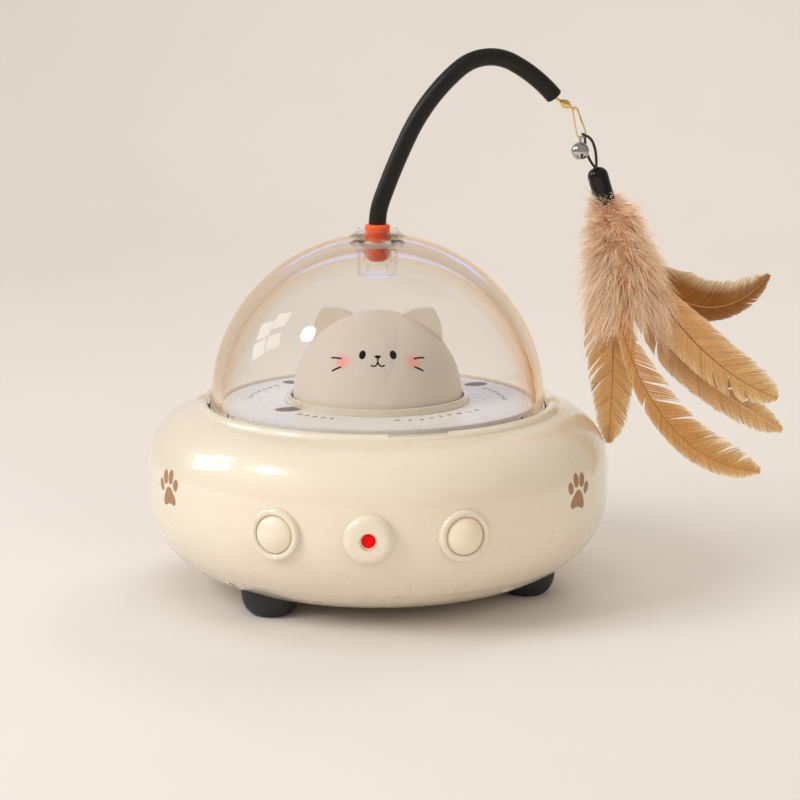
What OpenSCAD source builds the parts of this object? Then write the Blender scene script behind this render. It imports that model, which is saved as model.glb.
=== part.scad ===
// Motor-driven feather teaser for cats: a round base with a turning dish, a clear dome over a fixed
// cat head, and a bent wand that swings a feather lure round the base.
// Millimetres, +Z up, origin on the floor under the axis, front panel towards -Y.
// Azimuths are counted from the front (-Y) towards +X.

/* [Body] */
// Largest radius of the base
body_r = 100; // [95:1:102]
// Height of the lower end of the upright band on the side
equator_z = 44; // [40:1:48]
// Height of the upright band on the side
band_h = 11.5; // [6:0.5:16]
// Radius of the side below the band
side_low_r = 34; // [30:1:36]
// Radius of the shoulder above the band
shoulder_r = 25; // [22:0.5:25.5]
// Slope of the side where the shell and the bottom cover part
seam_angle = 50; // [45:1:55]
// Height of the flat underside above the floor
base_z = 5.6; // [4:0.2:8]
// Wall thickness of the shell and the cover
wall = 2.5; // [2:0.1:3]
// Radius of the raised lip round the dish
lip_r = 3; // [2.5:0.1:3.5]
// Width of the rim between the dish's opening and the side
rim_w = 27; // [26:0.2:28]
// Depth of the skirt under the lip
skirt_h = 10; // [6:0.5:12]

/* [Feet] */
// How far the feet stand inside the circle of the screw wells
foot_in = 16; // [16:0.5:20]
// Largest radius of a foot
foot_r = 12.5; // [10:0.5:12.5]
// Radius of the flat that stands on the floor
foot_flat_r = 6; // [4:0.5:8]
// Height at which a foot is widest
foot_h = 10; // [8:0.5:11]

/* [Buttons] */
// Height of the three buttons
button_z = 45; // [44:0.5:50]
// Azimuth of the two side buttons
button_az = 22.4; // [19:0.2:26]
// Radius of a side button's cap
button_r = 8; // [7:0.1:8.6]
// Outer radius of the ring round a side button
bezel_r = 10.8; // [10.6:0.1:12]
// How far the ring stands proud of the side
bezel_proud = 2.4; // [2:0.1:3]
// Radius of the round boss at the front
boss_r = 10.5; // [9:0.1:11.5]
// How far the boss stands proud of the side
boss_proud = 5; // [4:0.1:6]
// Radius of the red button in the boss
power_r = 2.9; // [2.4:0.1:3.1]
// Travel of a button
travel = 1.2; // [0.8:0.1:1.5]

/* [Drive] */
// Module of the gears
gear_m = 1; // [1:0.05:1.05]
// Teeth of the gear under the turning dish
ring_teeth = 66; // [64:1:68]
// Teeth of the idler's small gear
small_teeth = 18; // [17:1:19]
// Teeth of the idler's large gear
large_teeth = 42; // [40:1:43]
// Teeth of the motor pinion
pinion_teeth = 18; // [17:1:19]
// Radius of the motor
motor_r = 12; // [10:0.5:12]
// Length of the motor
motor_h = 29; // [24:1:29]
// Radius of the fixed spindle
spindle_r = 4; // [3:0.5:5]
// Height of the gear space between the deck and the dish
gear_space = 22.6; // [22.2:0.2:23.6]
// Thickness of the gear deck
deck_t = 3; // [2.5:0.1:3.5]

/* [Dome] */
// Gap between the dome and the lip
dome_gap = 1; // [0.8:0.1:1.5]
// Wall thickness of the dome
dome_wall = 4.5; // [4:0.1:5]
// How far the dish lies below the top of the lip
dish_drop = 0.4; // [0.2:0.1:2]
// Outer radius of the clear socket in the crown
socket_r = 8.75; // [8.5:0.05:9.5]
// Bore radius of the socket
socket_bore_r = 6; // [5.8:0.05:6.2]
// Depth of the socket below the crown
socket_depth = 17.5; // [16.5:0.5:20]

/* [Cat head] */
// Outer radius of the head
head_r = 36.4; // [34:0.2:36.6]
// Wall thickness of the head
head_wall = 2; // [1.6:0.1:2.4]
// Sideways place of an ear's round tip
ear_x = 22.2; // [20:0.2:24]
// Height of an ear's round tip above the head's centre
ear_z = 34.6; // [33:0.2:36]
// Radius of an ear's round tip
ear_tip_r = 3; // [2:0.1:4]
// Thickness of an ear
ear_t = 6; // [4:0.5:8]

/* [Wand] */
// Azimuth of the wand's bend, turned back from +X
wand_az = 12; // [0:1:20]
// Outer radius of the wand's rubber sleeve
sleeve_r = 3.75; // [3.4:0.05:3.9]
// Radius of the spring wire inside the sleeve
core_r = 0.6; // [0.4:0.05:0.7]
// Radius of the plug at the wand's foot
plug_r = 5.5; // [5.2:0.05:5.7]
// Length of the plug
plug_h = 16.6; // [15:0.2:18]
// Bare wire between the sleeve and the swivel
tip_wire = 2; // [1.5:0.5:6]

/* [Lure] */
// Radius of the bell
bell_r = 3.9; // [3:0.05:4]
// Radius of the cord loop's cord
cord_r = 0.6; // [0.5:0.05:0.65]
// Radius of the black cap
cap_r = 4.5; // [4:0.1:5]
// Length of the cap
cap_h = 16; // [14:0.5:18]
// Lean of the cap away from the base
cap_lean = 17; // [10:1:20]
// Thickness of a feather along its shaft
feather_t = 1; // [0.8:0.1:1.4]

/* [Fits] */
// Radial clearance of a running fit
run_fit = 0.05; // [0.03:0.01:0.08]
// Radial clearance of a seated fit
seat_fit = 0.03; // [0.02:0.01:0.05]
// Gap that keeps a moving face off its seat
face_gap = 0.1; // [0.08:0.01:0.2]
// Gap that keeps loose pieces apart
free_gap = 0.3; // [0.25:0.05:0.5]
// Backlash of the gears on the pitch circle
backlash = 0.3; // [0.25:0.01:0.4]

/* [Hidden] */
$fn = 48;
far = 400;
cut = 1;

// Side profile of the base: an under arc, a side arc, an upright band and a shoulder arc
low_c = [body_r - side_low_r, equator_z];
seam_r = low_c[0] + side_low_r * cos(seam_angle);
seam_z = low_c[1] - side_low_r * sin(seam_angle);
under_r = (seam_z - base_z) / (1 - sin(seam_angle));
under_c = [seam_r - under_r * cos(seam_angle), seam_z + under_r * sin(seam_angle)];
shoulder_c = [body_r - shoulder_r, equator_z + band_h];
top_z = shoulder_c[1] + shoulder_r;
inner_under_r = under_r - wall;
seam_in_angle = asin((under_c[1] - seam_z) / inner_under_r);
seam_in_r = under_c[0] + inner_under_r * cos(seam_in_angle);
lip_in = body_r - rim_w;
lip_c = [lip_in + lip_r, top_z - 0.5];
lip_z = lip_c[1] + lip_r;
dish_z = lip_z - dish_drop;
skirt_t = 2.2;
floor_z = base_z + wall;
arc_step = 8;

// Screws that join the cover to the shell, in wells near the lower edge
well_az = 44;
well_at = seam_r - 5.85;
well_r = 3.2;
well_floor_z = seam_z + 4;
cover_boss_r = well_r + 1.2;
cover_boss_z = well_floor_z + 2.5;
shell_boss_r = 4;
shell_boss_z = cover_boss_z + 15.5;
screw_r = 1.5;
screw_head_r = 2.7;
screw_head_h = 2;
cover_screw_l = 14;
boss_relief = 0.3;
rim_lip_t = 1.5;
rim_lip_h = 2;

// Feet, each with a stem through the cover
foot_at = well_at - foot_in;
foot_az = [-41, 79, 199];
foot_stem_r = 3;
foot_stem_z = floor_z + 5;

// Gear deck, hung from posts under the shell's shoulder
deck_z = dish_z - gear_space;
deck_r = lip_in + 8.5;
deck_bottom_z = deck_z - deck_t;
post_at = lip_in + 4.5;
post_az = 45;
post_r = 3.5;
deck_screw_l = 12;

// Drive train
ring_r = gear_m * ring_teeth / 2;
small_r = gear_m * small_teeth / 2;
large_r = gear_m * large_teeth / 2;
pinion_r = gear_m * pinion_teeth / 2;
addendum = 0.8 * gear_m;
dedendum = 1.1 * gear_m;
pressure = 20;
idler_dir = 90;
motor_dir = 160;
idler_at = (ring_r + small_r) * [cos(idler_dir), sin(idler_dir)];
motor_at = idler_at + (large_r + pinion_r) * [cos(motor_dir), sin(motor_dir)];
idler_gap = 2;
large_z = deck_z + idler_gap;
large_t = 5;
flange_r = 10;
flange_t = 2.5;
washer_r = 7;
washer_t = 1;
dish_t = 3;
dish_low_z = dish_z - dish_t;
ring_t = 5.6;
hub_r = spindle_r + 4;
hub_low_z = deck_z + flange_t + washer_t;
idler_top_z = dish_low_z - 0.6;
idler_pin_r = 1.5;
motor_boss_r = 3;
motor_boss_h = 2;
shaft_r = 1.2;
shaft_in = 15;
motor_screw_r = 1.25;
motor_screw_head_r = 2.2;
motor_screw_at = 8;
motor_screw_head_h = 1.6;

// Dish, collar and dome seat
dome_r = lip_in - dome_gap;
disc_t = 0.4;
disc_z = dish_z + disc_t;
seat_depth = 2;
seat_z = dish_z - seat_depth;
dome_in_r = dome_r - dome_wall;
dome_c_z = dish_z - 0.1;
dome_low_z = seat_z + face_gap;
dish_step_r = dome_in_r - free_gap;
dish_r = dome_r + free_gap;
drive_rib_w = 2.8;
drive_rib_h = 1.4;
drive_rib_az = 60;
collar_in_r = head_r + 0.8;
collar_t = 2.3;
collar_h = 3.4;
disc_in_r = collar_in_r + collar_t + 0.2;

// Cat head and what carries it
carrier_gap = 1;
carrier_low_z = dish_z + carrier_gap;
carrier_rim_t = 0.7;
head_low_z = carrier_low_z + carrier_rim_t;
head_c_z = head_low_z + 1.2;
carrier_t = 2.5;
carrier_top_z = head_low_z + carrier_t;
spindle_bore_r = spindle_r / 2;
nut_r = spindle_r + 2.5;
nut_h = 3.2;
led_board_y = -0.55 * head_r;
led_board_t = 1.2;
led_board_w = 0.99 * head_r;
led_board_h = 0.467 * head_r;
led_x = 0.426 * head_r;
led_up = 0.357 * head_r;
led_r = 1.5;
led_l = 4;
ear_bulge = 0.9;
ear_low = [head_r * sin(50), head_r * cos(50)];
ear_high = [head_r * sin(17), head_r * cos(17)];

// Crown and socket
crown_z = dome_c_z + dome_r - 1.1;
socket_flange_r = socket_r + 3;
socket_flange_t = 1.5;
socket_rim_r = socket_r + 0.25;
socket_top_z = crown_z + socket_flange_t + 2.3;
socket_low_z = crown_z - socket_depth;
socket_floor = 2.2;
socket_edge_r = 2.2;
socket_lip = 0.8;
plug_seat_z = socket_low_z + 6.2;
plug_pocket_r = 4.5;
plug_low_z = plug_seat_z + free_gap;
plug_top_z = plug_low_z + plug_h;
plug_edge_r = 4.2;
plug_top_r = 1.2;
grip_h = 1.4;
grip_z = socket_top_z - 3.4;
grip_in_r = plug_r - 0.7;

// Wand: bend radii and angles from the plug to the tip, in the wand's own plane
wand_bends = [[30, 20], [286, 6], [85, 24], [21, 68], [63, 22]];
sleeve_low_z = plug_low_z + 4.5;
tip = bend_end(len(wand_bends));
tip_heading = heading_at(len(wand_bends));
wand_step = 8;
wand_stations = concat(
  [[0, sleeve_low_z, 0]],
  [for (i = [0 : len(wand_bends) - 1])
    let (turn = wand_bends[i][1], n = ceil(turn / wand_step))
    for (k = [0 : n - 1]) on_arc(bend_end(i), heading_at(i), wand_bends[i][0], turn * k / n)],
  [[tip[0], tip[1], tip_heading]]);
sleeve_sides = 16;
core_sides = 8;
core_gap = 0.1;

// Bare wire: its bend out of the sleeve, and the line of the swivel after it
wire_bend_r = 3;
wire_turn = 19;
wire_stations = [for (k = [1 : 3]) on_arc(tip, tip_heading, -wire_bend_r, -wire_turn * k / 3)];
swivel_from = [wire_stations[2][0], wire_stations[2][1]];
swivel_heading = wire_stations[2][2];
swivel_dir = [sin(swivel_heading), cos(swivel_heading)];

// Swivel, snap and loops
barrel_l = 5.2;
barrel_r = 1.9;
barrel_end_r = 0.75;
barrel_steps = 10;
chamber_r = 1.15;
chamber_low = 1.6;
chamber_high = 3.6;
eye_neck_r = 0.5;
eye_head_r = chamber_r - 0.15;
eye_head_h = 1.1;
eye_head_at = chamber_low + 0.5;
eye_neck_l = 0.3;
eye_r = 1;
eye_wire_r = 0.3;
eye_center = tip_wire + barrel_l + eye_neck_l + eye_r;
snap_pivot = swivel_from + (eye_center + eye_r) * swivel_dir;
snap_r = 2;
snap_wire_r = 0.35;
snap_lean = 16;
snap_drop = snap_r - snap_wire_r - eye_wire_r - 0.35;
snap_l = 9.6;
snap_low = snap_pivot + (snap_drop + snap_l) * [sin(snap_lean), -cos(snap_lean)];
bell_hang = -5;
bell_pivot = snap_low + snap_r * [sin(bell_hang), -cos(bell_hang)];
bell_ring_r = 1.4;
bell_wire_r = 0.3;
bell_ring_drop = bell_ring_r - snap_wire_r - bell_wire_r - 0.15;
bell_ring_low = bell_pivot + (bell_ring_drop + bell_ring_r) * [sin(bell_hang), -cos(bell_hang)];
bell_c = bell_ring_low - [0, bell_wire_r + bell_r - 0.5];
bell_wall = 0.6;
bell_slot = 0.9;
bell_hole_r = 0.6;
pellet_r = 1.1;
cord_hang = 60;
cord_pivot = snap_low + snap_r * [sin(cord_hang), -cos(cord_hang)];
cord_loop_r = 1.2;
cord_span = 14.871;
cord_lean = 19.211;
cord_end = cord_pivot + cord_span * [sin(cord_lean), -cos(cord_lean)];
cord_right = [[3.2, 0, -0.6], [5.2, 0, -6]];
cord_left = [[1.8, 3.5, -1.8], [1.2, 8.6, -8]];
cord_tail = 3;
cord_steps = 8;
cord_sides = 8;

// Cap, plume and feathers: points are offsets from the middle of the cap's mouth
cap_bore_r = cap_r - 0.9;
cap_bore_l = 9;
cap_dome = 3.8;
cap_mouth = cord_end + cap_h * [sin(cap_lean), -cos(cap_lean)];
plume_sides = 12;
plume_rings = [
  [4.5, -1.5, 3.2, 3.2], [-1.6, 0.3, 3.2, 3.2], [-3.6, 1.5, 9.5, 8.5], [-9, 3.6, 12.8, 10.5],
  [-15, 5.5, 14.5, 11.5], [-26, 8.6, 17, 13], [-38, 12.5, 20, 13], [-47, 11, 16.5, 10], [-54, 8.5, 9.5, 6]];
feather_steps = 16;
quill_end = 0.28;
quill_w = 0.5;

// Boards and battery on the bottom cover
cell_r = 9.2;
cell_l = 65;
cell_y = -20;
holder_w = 22;
holder_h = 12;
holder_end = 3;
holder_floor = 2;
board_w = 28;
board_l = 51;
board_end = body_r - 11;
board_y = board_end - board_l;
board_z = 26;
board_t = 1.6;
standoff_r = 2.5;
standoff_x = 10;
standoff_in = 4;
standoff_out = 13;
standoff_y = [board_y + standoff_in, board_end - standoff_out];
usb_w = 9;
usb_l = 8.5;
usb_h = 3.2;
usb_proud = 3.5;
usb_y = board_end + usb_proud - usb_l;
usb_slot_w = 13;
usb_slot_h = 7;
usb_z = board_z + board_t + usb_h / 2;

// Push buttons, their switches and the boards behind them
cap_flange_t = 1.5;
cap_flange_at = body_r - wall - 2.5;
stem_r = 2;
stem_l = 2.7;
stem_end = cap_flange_at - stem_l;
switch_tip = stem_end - travel - 0.15;
switch_w = 6;
switch_h = 3.5;
switch_tip_r = 1.75;
panel_at = switch_tip - 2.8 - switch_h;
panel_w = 16;
panel_h = 30;
panel_t = 1.6;
panel_post = 12;
panel_post_r = 2;
stake_r = 0.95;
power_face = body_r + boss_proud - 1.2;
power_well_r = power_r + 0.85;
power_well = 1.8;

// Lip notches: a small one at each side and a long shallow one at the front
notch_w = 9;
notch_depth = 2.6;
front_notch_az = 15;
front_notch_w = 26;
front_notch_depth = 0.9;

function arc(c, r, a0, a1) =
  let (n = max(2, ceil(abs(a1 - a0) / arc_step)))
  [for (i = [0 : n]) let (a = a0 + (a1 - a0) * i / n) c + r * [cos(a), sin(a)]];

function heading_at(i) = i == 0 ? 0 : heading_at(i - 1) + wand_bends[i - 1][1];

function bend_end(i) =
  i == 0 ? [0, plug_top_z] :
  let (a = heading_at(i - 1), b = heading_at(i), r = wand_bends[i - 1][0])
  bend_end(i - 1) + r * [cos(a) - cos(b), sin(b) - sin(a)];

// Point and heading on a bend that starts at p, after part of its turn
function on_arc(p, a, r, turn) =
  [p[0] + r * (cos(a) - cos(a + turn)), p[1] + r * (sin(a + turn) - sin(a)), a + turn];

// Ring of points round a station, square to its heading
function station_ring(s, y, r, n) =
  [for (j = [0 : n - 1]) let (t = 360 * j / n)
    [s[0] + r * cos(t) * cos(s[2]), y + r * sin(t), s[1] - r * cos(t) * sin(s[2])]];

// Touch point of the line from p to the circle round c, on the given side
function tangent_point(p, c, r, side) =
  let (d = p - c, l = norm(d), a = atan2(d[1], d[0]) + side * acos(r / l))
  c + r * [cos(a), sin(a)];

// Points of a side that bows out by s from the line between p and q
function bulge(p, q, s) =
  let (d = q - p, across = s * unit([d[1], -d[0]]))
  [for (i = [0 : 8]) let (t = i / 8) p + t * d + 4 * t * (1 - t) * across];

function involute(base, r) =
  let (t = sqrt(max(0, pow(r / base, 2) - 1)))
  t * 180 / PI - atan(t);

function bezier(p, t) =
  pow(1 - t, 3) * p[0] + 3 * t * pow(1 - t, 2) * p[1] + 3 * t * t * (1 - t) * p[2] + pow(t, 3) * p[3];

function unit(v) = v / norm(v);

module at_az(az) { rotate([0, 0, az - 90]) children(); }
module outward(az, z) { at_az(az) translate([0, 0, z]) rotate([0, 90, 0]) children(); }
module wand_plane() { rotate([0, 0, wand_az]) children(); }
module at_point(p) { translate([p[0], 0, p[1]]) children(); }
module along_swivel(d) {
  wand_plane() at_point(swivel_from + d * swivel_dir) rotate([0, swivel_heading, 0]) children();
}
module hanging(p, lean) { wand_plane() at_point(p) rotate([0, -lean, 0]) children(); }

module tube(r_out, r_in, h) {
  difference() {
    cylinder(r = r_out, h = h);
    translate([0, 0, -cut]) cylinder(r = r_in, h = h + 2 * cut);
  }
}

// Solid inside the base's side profile, drawn in by a distance
module body_inside(off) {
  rotate_extrude($fn = 96) polygon(concat(
    [[0, base_z + off]],
    arc(under_c, under_r - off, -90, -seam_angle),
    arc(low_c, side_low_r - off, -seam_angle, 0),
    arc(shoulder_c, shoulder_r - off, 0, 90),
    [[0, top_z - off]]));
}

module ring(r, wire_r) { rotate_extrude() translate([r, 0]) circle(wire_r); }
module half_ring(r, wire_r) { rotate_extrude(angle = 180) translate([r, 0]) circle(wire_r); }

// Spur gear with a tooth on +X
module gear(teeth, h) {
  pitch = gear_m * teeth / 2;
  base = pitch * cos(pressure);
  root = pitch - dedendum;
  outer = pitch + addendum;
  half = 90 / teeth - backlash / 4 / pitch * 180 / PI;
  at_pitch = involute(base, pitch);
  low = max(root, base);
  angles = [for (r = [low, pitch, outer]) half + at_pitch - involute(base, r)];
  radii = [low, pitch, outer];
  first = low > root ? 0 : 1;
  flank = concat([[root, angles[0]]], [for (i = [first : 2]) [radii[i], angles[i]]]);
  n = len(flank);
  linear_extrude(h) polygon([for (k = [0 : teeth - 1]) let (mid = k * 360 / teeth) each concat(
    [for (i = [0 : n - 1]) flank[i][0] * [cos(mid - flank[i][1]), sin(mid - flank[i][1])]],
    [for (i = [n - 1 : -1 : 0]) flank[i][0] * [cos(mid + flank[i][1]), sin(mid + flank[i][1])]])]);
}

module at_wells() {
  for (az = [well_az, 180 - well_az, 180 + well_az, -well_az])
    at_az(az) translate([well_at, 0, 0]) children();
}
module at_posts() {
  for (k = [0 : 3]) at_az(post_az + 90 * k) translate([post_at, 0, 0]) children();
}
module at_buttons() {
  for (az = [-button_az, 0, button_az]) outward(az, button_z) children();
}
module at_panel_posts() {
  at_buttons() for (s = [-1, 1]) translate([s * panel_post, 0, 0]) children();
}
module at_standoffs() {
  for (x = [-standoff_x, standoff_x], y = standoff_y) translate([x, y, 0]) children();
}

// Screw with its head below the origin and its shank upwards
module screw(shank_r, shank_l, head_r, head_h) {
  translate([0, 0, -head_h]) cylinder(r = head_r, h = head_h);
  cylinder(r = shank_r, h = shank_l);
}

module bezel() {
  cylinder(r = bezel_r, h = body_r + bezel_proud - (bezel_r - button_r) / 2);
  translate([0, 0, body_r + bezel_proud - (bezel_r - button_r) / 2])
    ring((bezel_r + button_r) / 2, (bezel_r - button_r) / 2);
}

module front_boss() {
  edge = boss_proud - 1;
  rotate_extrude() polygon(concat(
    [[0, body_r - 2 * wall], [boss_r, body_r - 2 * wall]],
    arc([boss_r - edge, body_r + boss_proud - edge], edge, 0, 90),
    [[0, body_r + boss_proud]]));
}

module shell_profile() {
  inner_shoulder_r = shoulder_r - wall;
  lip_end = asin((lip_c[1] - shoulder_c[1]) / shoulder_r);
  skirt_out = lip_in + skirt_t;
  skirt_angle = acos((skirt_out - shoulder_c[0]) / inner_shoulder_r);
  polygon(concat(
    arc(low_c, side_low_r, -seam_angle, 0),
    arc(shoulder_c, shoulder_r, 0, lip_end),
    arc(lip_c, lip_r, 10, 180),
    [[lip_in, lip_c[1] - skirt_h], [skirt_out, lip_c[1] - skirt_h]],
    arc(shoulder_c, inner_shoulder_r, skirt_angle, 0),
    arc(low_c, side_low_r - wall, 0, -seam_angle),
    arc(under_c, inner_under_r, -seam_angle, -seam_in_angle)));
}

module body_shell() {
  color([0.93, 0.88, 0.77]) difference() {
    union() {
      difference() {
        rotate_extrude($fn = 96) shell_profile();
        at_wells() cylinder(r = cover_boss_r + boss_relief, h = cover_boss_z);
      }
      intersection() {
        body_inside(wall / 2);
        union() {
          at_wells() translate([0, 0, cover_boss_z]) {
            cylinder(r = shell_boss_r, h = shell_boss_z - cover_boss_z);
            translate([0, -wall / 2, 0]) cube([far, wall, shell_boss_z - cover_boss_z]);
          }
          at_posts() translate([0, 0, deck_z]) cylinder(r = post_r, h = far);
          at_panel_posts() translate([0, 0, panel_at]) cylinder(r = panel_post_r, h = far);
        }
      }
      at_panel_posts() translate([0, 0, panel_at - 2]) cylinder(r = stake_r, h = 4);
      difference() {
        union() {
          for (az = [-button_az, button_az]) outward(az, button_z) bezel();
          outward(0, button_z) front_boss();
        }
        body_inside(wall / 2);
      }
    }
    at_wells() translate([0, 0, cover_boss_z - cut]) cylinder(r = screw_r + seat_fit, h = cover_screw_l);
    at_posts() translate([0, 0, deck_z - cut]) cylinder(r = screw_r + seat_fit, h = deck_screw_l);
    for (az = [-button_az, button_az]) outward(az, button_z) translate([0, 0, body_r / 2 + panel_at / 2])
      cylinder(r = button_r + run_fit, h = far);
    outward(0, button_z) {
      translate([0, 0, body_r / 2 + panel_at / 2]) cylinder(r = power_r + run_fit, h = far);
      translate([0, 0, body_r + boss_proud - power_well]) cylinder(r = power_well_r, h = far);
    }
    for (az = [-90, 90]) at_az(az) translate([lip_in - cut, -notch_w / 2, lip_z - notch_depth])
      cube([far, notch_w, far]);
    at_az(front_notch_az) translate([lip_in - cut, -front_notch_w / 2, lip_z - front_notch_depth])
      cube([far, front_notch_w, far]);
    translate([-usb_slot_w / 2, 0, usb_z - usb_slot_h / 2]) cube([usb_slot_w, far, usb_slot_h]);
  }
}

module bottom_cover() {
  rim_r = seam_in_r - seat_fit - 0.15;
  color([0.93, 0.88, 0.77]) difference() {
    union() {
      rotate_extrude($fn = 96) polygon(concat(
        [[0, base_z]],
        arc(under_c, under_r, -90, -seam_angle),
        arc(under_c, inner_under_r, -seam_in_angle, -90),
        [[0, floor_z]]));
      translate([0, 0, seam_z - rim_lip_h]) tube(rim_r, rim_r - rim_lip_t, 2 * rim_lip_h);
      intersection() {
        body_inside(wall / 2);
        union() {
          at_wells() cylinder(r = cover_boss_r, h = cover_boss_z);
          at_standoffs() cylinder(r = standoff_r, h = board_z);
        }
      }
    }
    at_wells() cylinder(r = well_r, h = well_floor_z);
    at_wells() cylinder(r = screw_r + 0.1, h = far);
    for (k = [0 : 2]) at_foot(k) cylinder(r = foot_stem_r + seat_fit, h = far);
  }
}

module at_foot(k) { at_az(foot_az[k]) translate([foot_at, 0, 0]) children(); }

// Rubber foot: a bowl with a flat to stand on, shaped to the underside, with a stem through the cover
module foot(k) {
  color([0.12, 0.12, 0.14]) {
    difference() {
      at_foot(k) rotate_extrude() polygon(concat(
        [[0, 0]],
        [for (a = [0 : 15 : 90]) [foot_flat_r + (foot_r - foot_flat_r) * sin(a), foot_h * (1 - cos(a))]],
        [[foot_r, seam_z], [0, seam_z]]));
      body_inside(0);
    }
    at_foot(k) translate([0, 0, foot_h / 2]) cylinder(r = foot_stem_r, h = foot_stem_z - foot_h / 2);
  }
}
module foot_front_left() { foot(0); }
module foot_right() { foot(1); }
module foot_rear() { foot(2); }

module cover_screws() {
  color("silver") at_wells() translate([0, 0, well_floor_z])
    screw(screw_r, cover_screw_l, screw_head_r, screw_head_h);
}

module gear_deck() {
  color([0.9, 0.9, 0.88]) difference() {
    translate([0, 0, deck_bottom_z]) cylinder(r = deck_r, h = deck_t);
    cylinder(r = spindle_r + seat_fit, h = far);
    translate(idler_at) cylinder(r = idler_pin_r + seat_fit, h = far);
    translate(motor_at) cylinder(r = motor_boss_r + seat_fit, h = far);
    at_motor_screws() cylinder(r = motor_screw_r + 0.1, h = far);
    at_posts() cylinder(r = screw_r + 0.1, h = far);
    for (az = [-60, 0, 60]) at_az(az) translate([deck_r * 0.62, 0, 0]) cylinder(r = deck_r * 0.2, h = far);
  }
}

module deck_screws() {
  color("silver") at_posts() translate([0, 0, deck_bottom_z])
    screw(screw_r, deck_t + deck_screw_l - 2 * cut, screw_head_r, screw_head_h);
}

module spindle() {
  color("silver") difference() {
    union() {
      translate([0, 0, deck_bottom_z]) cylinder(r = spindle_r, h = carrier_top_z + nut_h - deck_bottom_z);
      translate([0, 0, deck_z]) cylinder(r = flange_r, h = flange_t);
    }
    translate([0, 0, deck_bottom_z - cut]) cylinder(r = spindle_bore_r, h = far);
  }
}

module thrust_washer() {
  color([0.85, 0.85, 0.8]) translate([0, 0, deck_z + flange_t])
    tube(washer_r, spindle_r + run_fit, washer_t - face_gap);
}

module spindle_nut() {
  color("silver") translate([0, 0, carrier_top_z]) difference() {
    cylinder(r = nut_r, h = nut_h, $fn = 6);
    translate([0, 0, -cut]) cylinder(r = spindle_r + seat_fit, h = nut_h + 2 * cut);
  }
}

module at_motor_screws() {
  translate(motor_at) rotate([0, 0, motor_dir])
    for (s = [-1, 1]) translate([0, s * motor_screw_at, 0]) children();
}

module motor_can() {
  color([0.75, 0.75, 0.77]) difference() {
    translate(motor_at) {
      translate([0, 0, deck_bottom_z - motor_h]) cylinder(r = motor_r, h = motor_h);
      translate([0, 0, deck_bottom_z]) cylinder(r = motor_boss_r, h = motor_boss_h);
    }
    translate(motor_at) translate([0, 0, deck_bottom_z - shaft_in - free_gap])
      cylinder(r = shaft_r + run_fit, h = far);
    at_motor_screws() translate([0, 0, deck_bottom_z - 4]) cylinder(r = motor_screw_r + seat_fit, h = far);
  }
}

module motor_screws() {
  color("silver") at_motor_screws() translate([0, 0, deck_z]) mirror([0, 0, 1])
    screw(motor_screw_r, deck_t + 3.5, motor_screw_head_r, motor_screw_head_h);
}

module idler_pin() {
  color("silver") translate([idler_at[0], idler_at[1], deck_bottom_z])
    cylinder(r = idler_pin_r, h = idler_top_z + 0.2 - deck_bottom_z);
}

module idler_gear() {
  color([0.95, 0.95, 0.92]) translate(idler_at) difference() {
    union() {
      translate([0, 0, large_z]) rotate([0, 0, motor_dir]) gear(large_teeth, large_t);
      translate([0, 0, large_z + cut]) rotate([0, 0, idler_dir + 180])
        gear(small_teeth, idler_top_z - large_z - cut);
      translate([0, 0, deck_z + face_gap]) cylinder(r = idler_pin_r + 1.5, h = idler_gap + cut);
    }
    cylinder(r = idler_pin_r + run_fit, h = far);
  }
}

module motor_pinion() {
  color([0.95, 0.95, 0.92]) translate(motor_at) difference() {
    translate([0, 0, large_z]) rotate([0, 0, motor_dir + 180 + 180 / pinion_teeth])
      gear(pinion_teeth, large_t);
    cylinder(r = shaft_r + seat_fit, h = far);
  }
}

module motor_shaft() {
  color("silver") translate([motor_at[0], motor_at[1], deck_bottom_z - shaft_in])
    cylinder(r = shaft_r, h = shaft_in + deck_t + idler_gap + large_t);
}

module battery_cell() {
  color([0.3, 0.45, 0.65]) translate([-cell_l / 2, cell_y, floor_z + holder_floor + cell_r + face_gap])
    rotate([0, 90, 0]) cylinder(r = cell_r, h = cell_l);
}

module battery_holder() {
  inner = cell_l + 2 * face_gap;
  color([0.15, 0.15, 0.16]) difference() {
    translate([-inner / 2 - holder_end, cell_y - holder_w / 2, floor_z])
      cube([inner + 2 * holder_end, holder_w, holder_h]);
    translate([-inner / 2, cell_y, floor_z + holder_floor + cell_r + face_gap])
      rotate([0, 90, 0]) cylinder(r = cell_r + face_gap, h = inner);
  }
}

module main_board() {
  color([0.1, 0.4, 0.25]) translate([-board_w / 2, board_y, board_z]) cube([board_w, board_l, board_t]);
}

module board_parts() {
  color([0.15, 0.15, 0.15]) translate([0, board_y, board_z + board_t]) {
    translate([-4, 20, 0]) cube([8, 8, 1.4]);
    translate([-11, 6, 0]) cube([6, 4, 2]);
    translate([6, 8, 0]) cylinder(r = 3, h = 6);
  }
}

module usb_socket() {
  color("silver") difference() {
    translate([-usb_w / 2, usb_y, board_z + board_t]) cube([usb_w, usb_l, usb_h]);
    translate([-usb_w / 2 + 0.4, usb_y + 1.5, board_z + board_t + 0.4])
      cube([usb_w - 0.8, usb_l, usb_h - 0.8]);
  }
}

module button_boards() {
  color([0.1, 0.4, 0.25]) at_buttons() translate([0, 0, panel_at - panel_t]) difference() {
    translate([-panel_h / 2, -panel_w / 2, 0]) cube([panel_h, panel_w, panel_t]);
    for (s = [-1, 1]) translate([s * panel_post, 0, -cut])
      cylinder(r = stake_r + seat_fit, h = panel_t + 2 * cut);
  }
}

module tact_switches() {
  color([0.2, 0.2, 0.2]) at_buttons() translate([0, 0, panel_at]) {
    translate([-switch_w / 2, -switch_w / 2, 0]) cube([switch_w, switch_w, switch_h]);
    cylinder(r = switch_tip_r, h = switch_tip - panel_at);
  }
}

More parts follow.
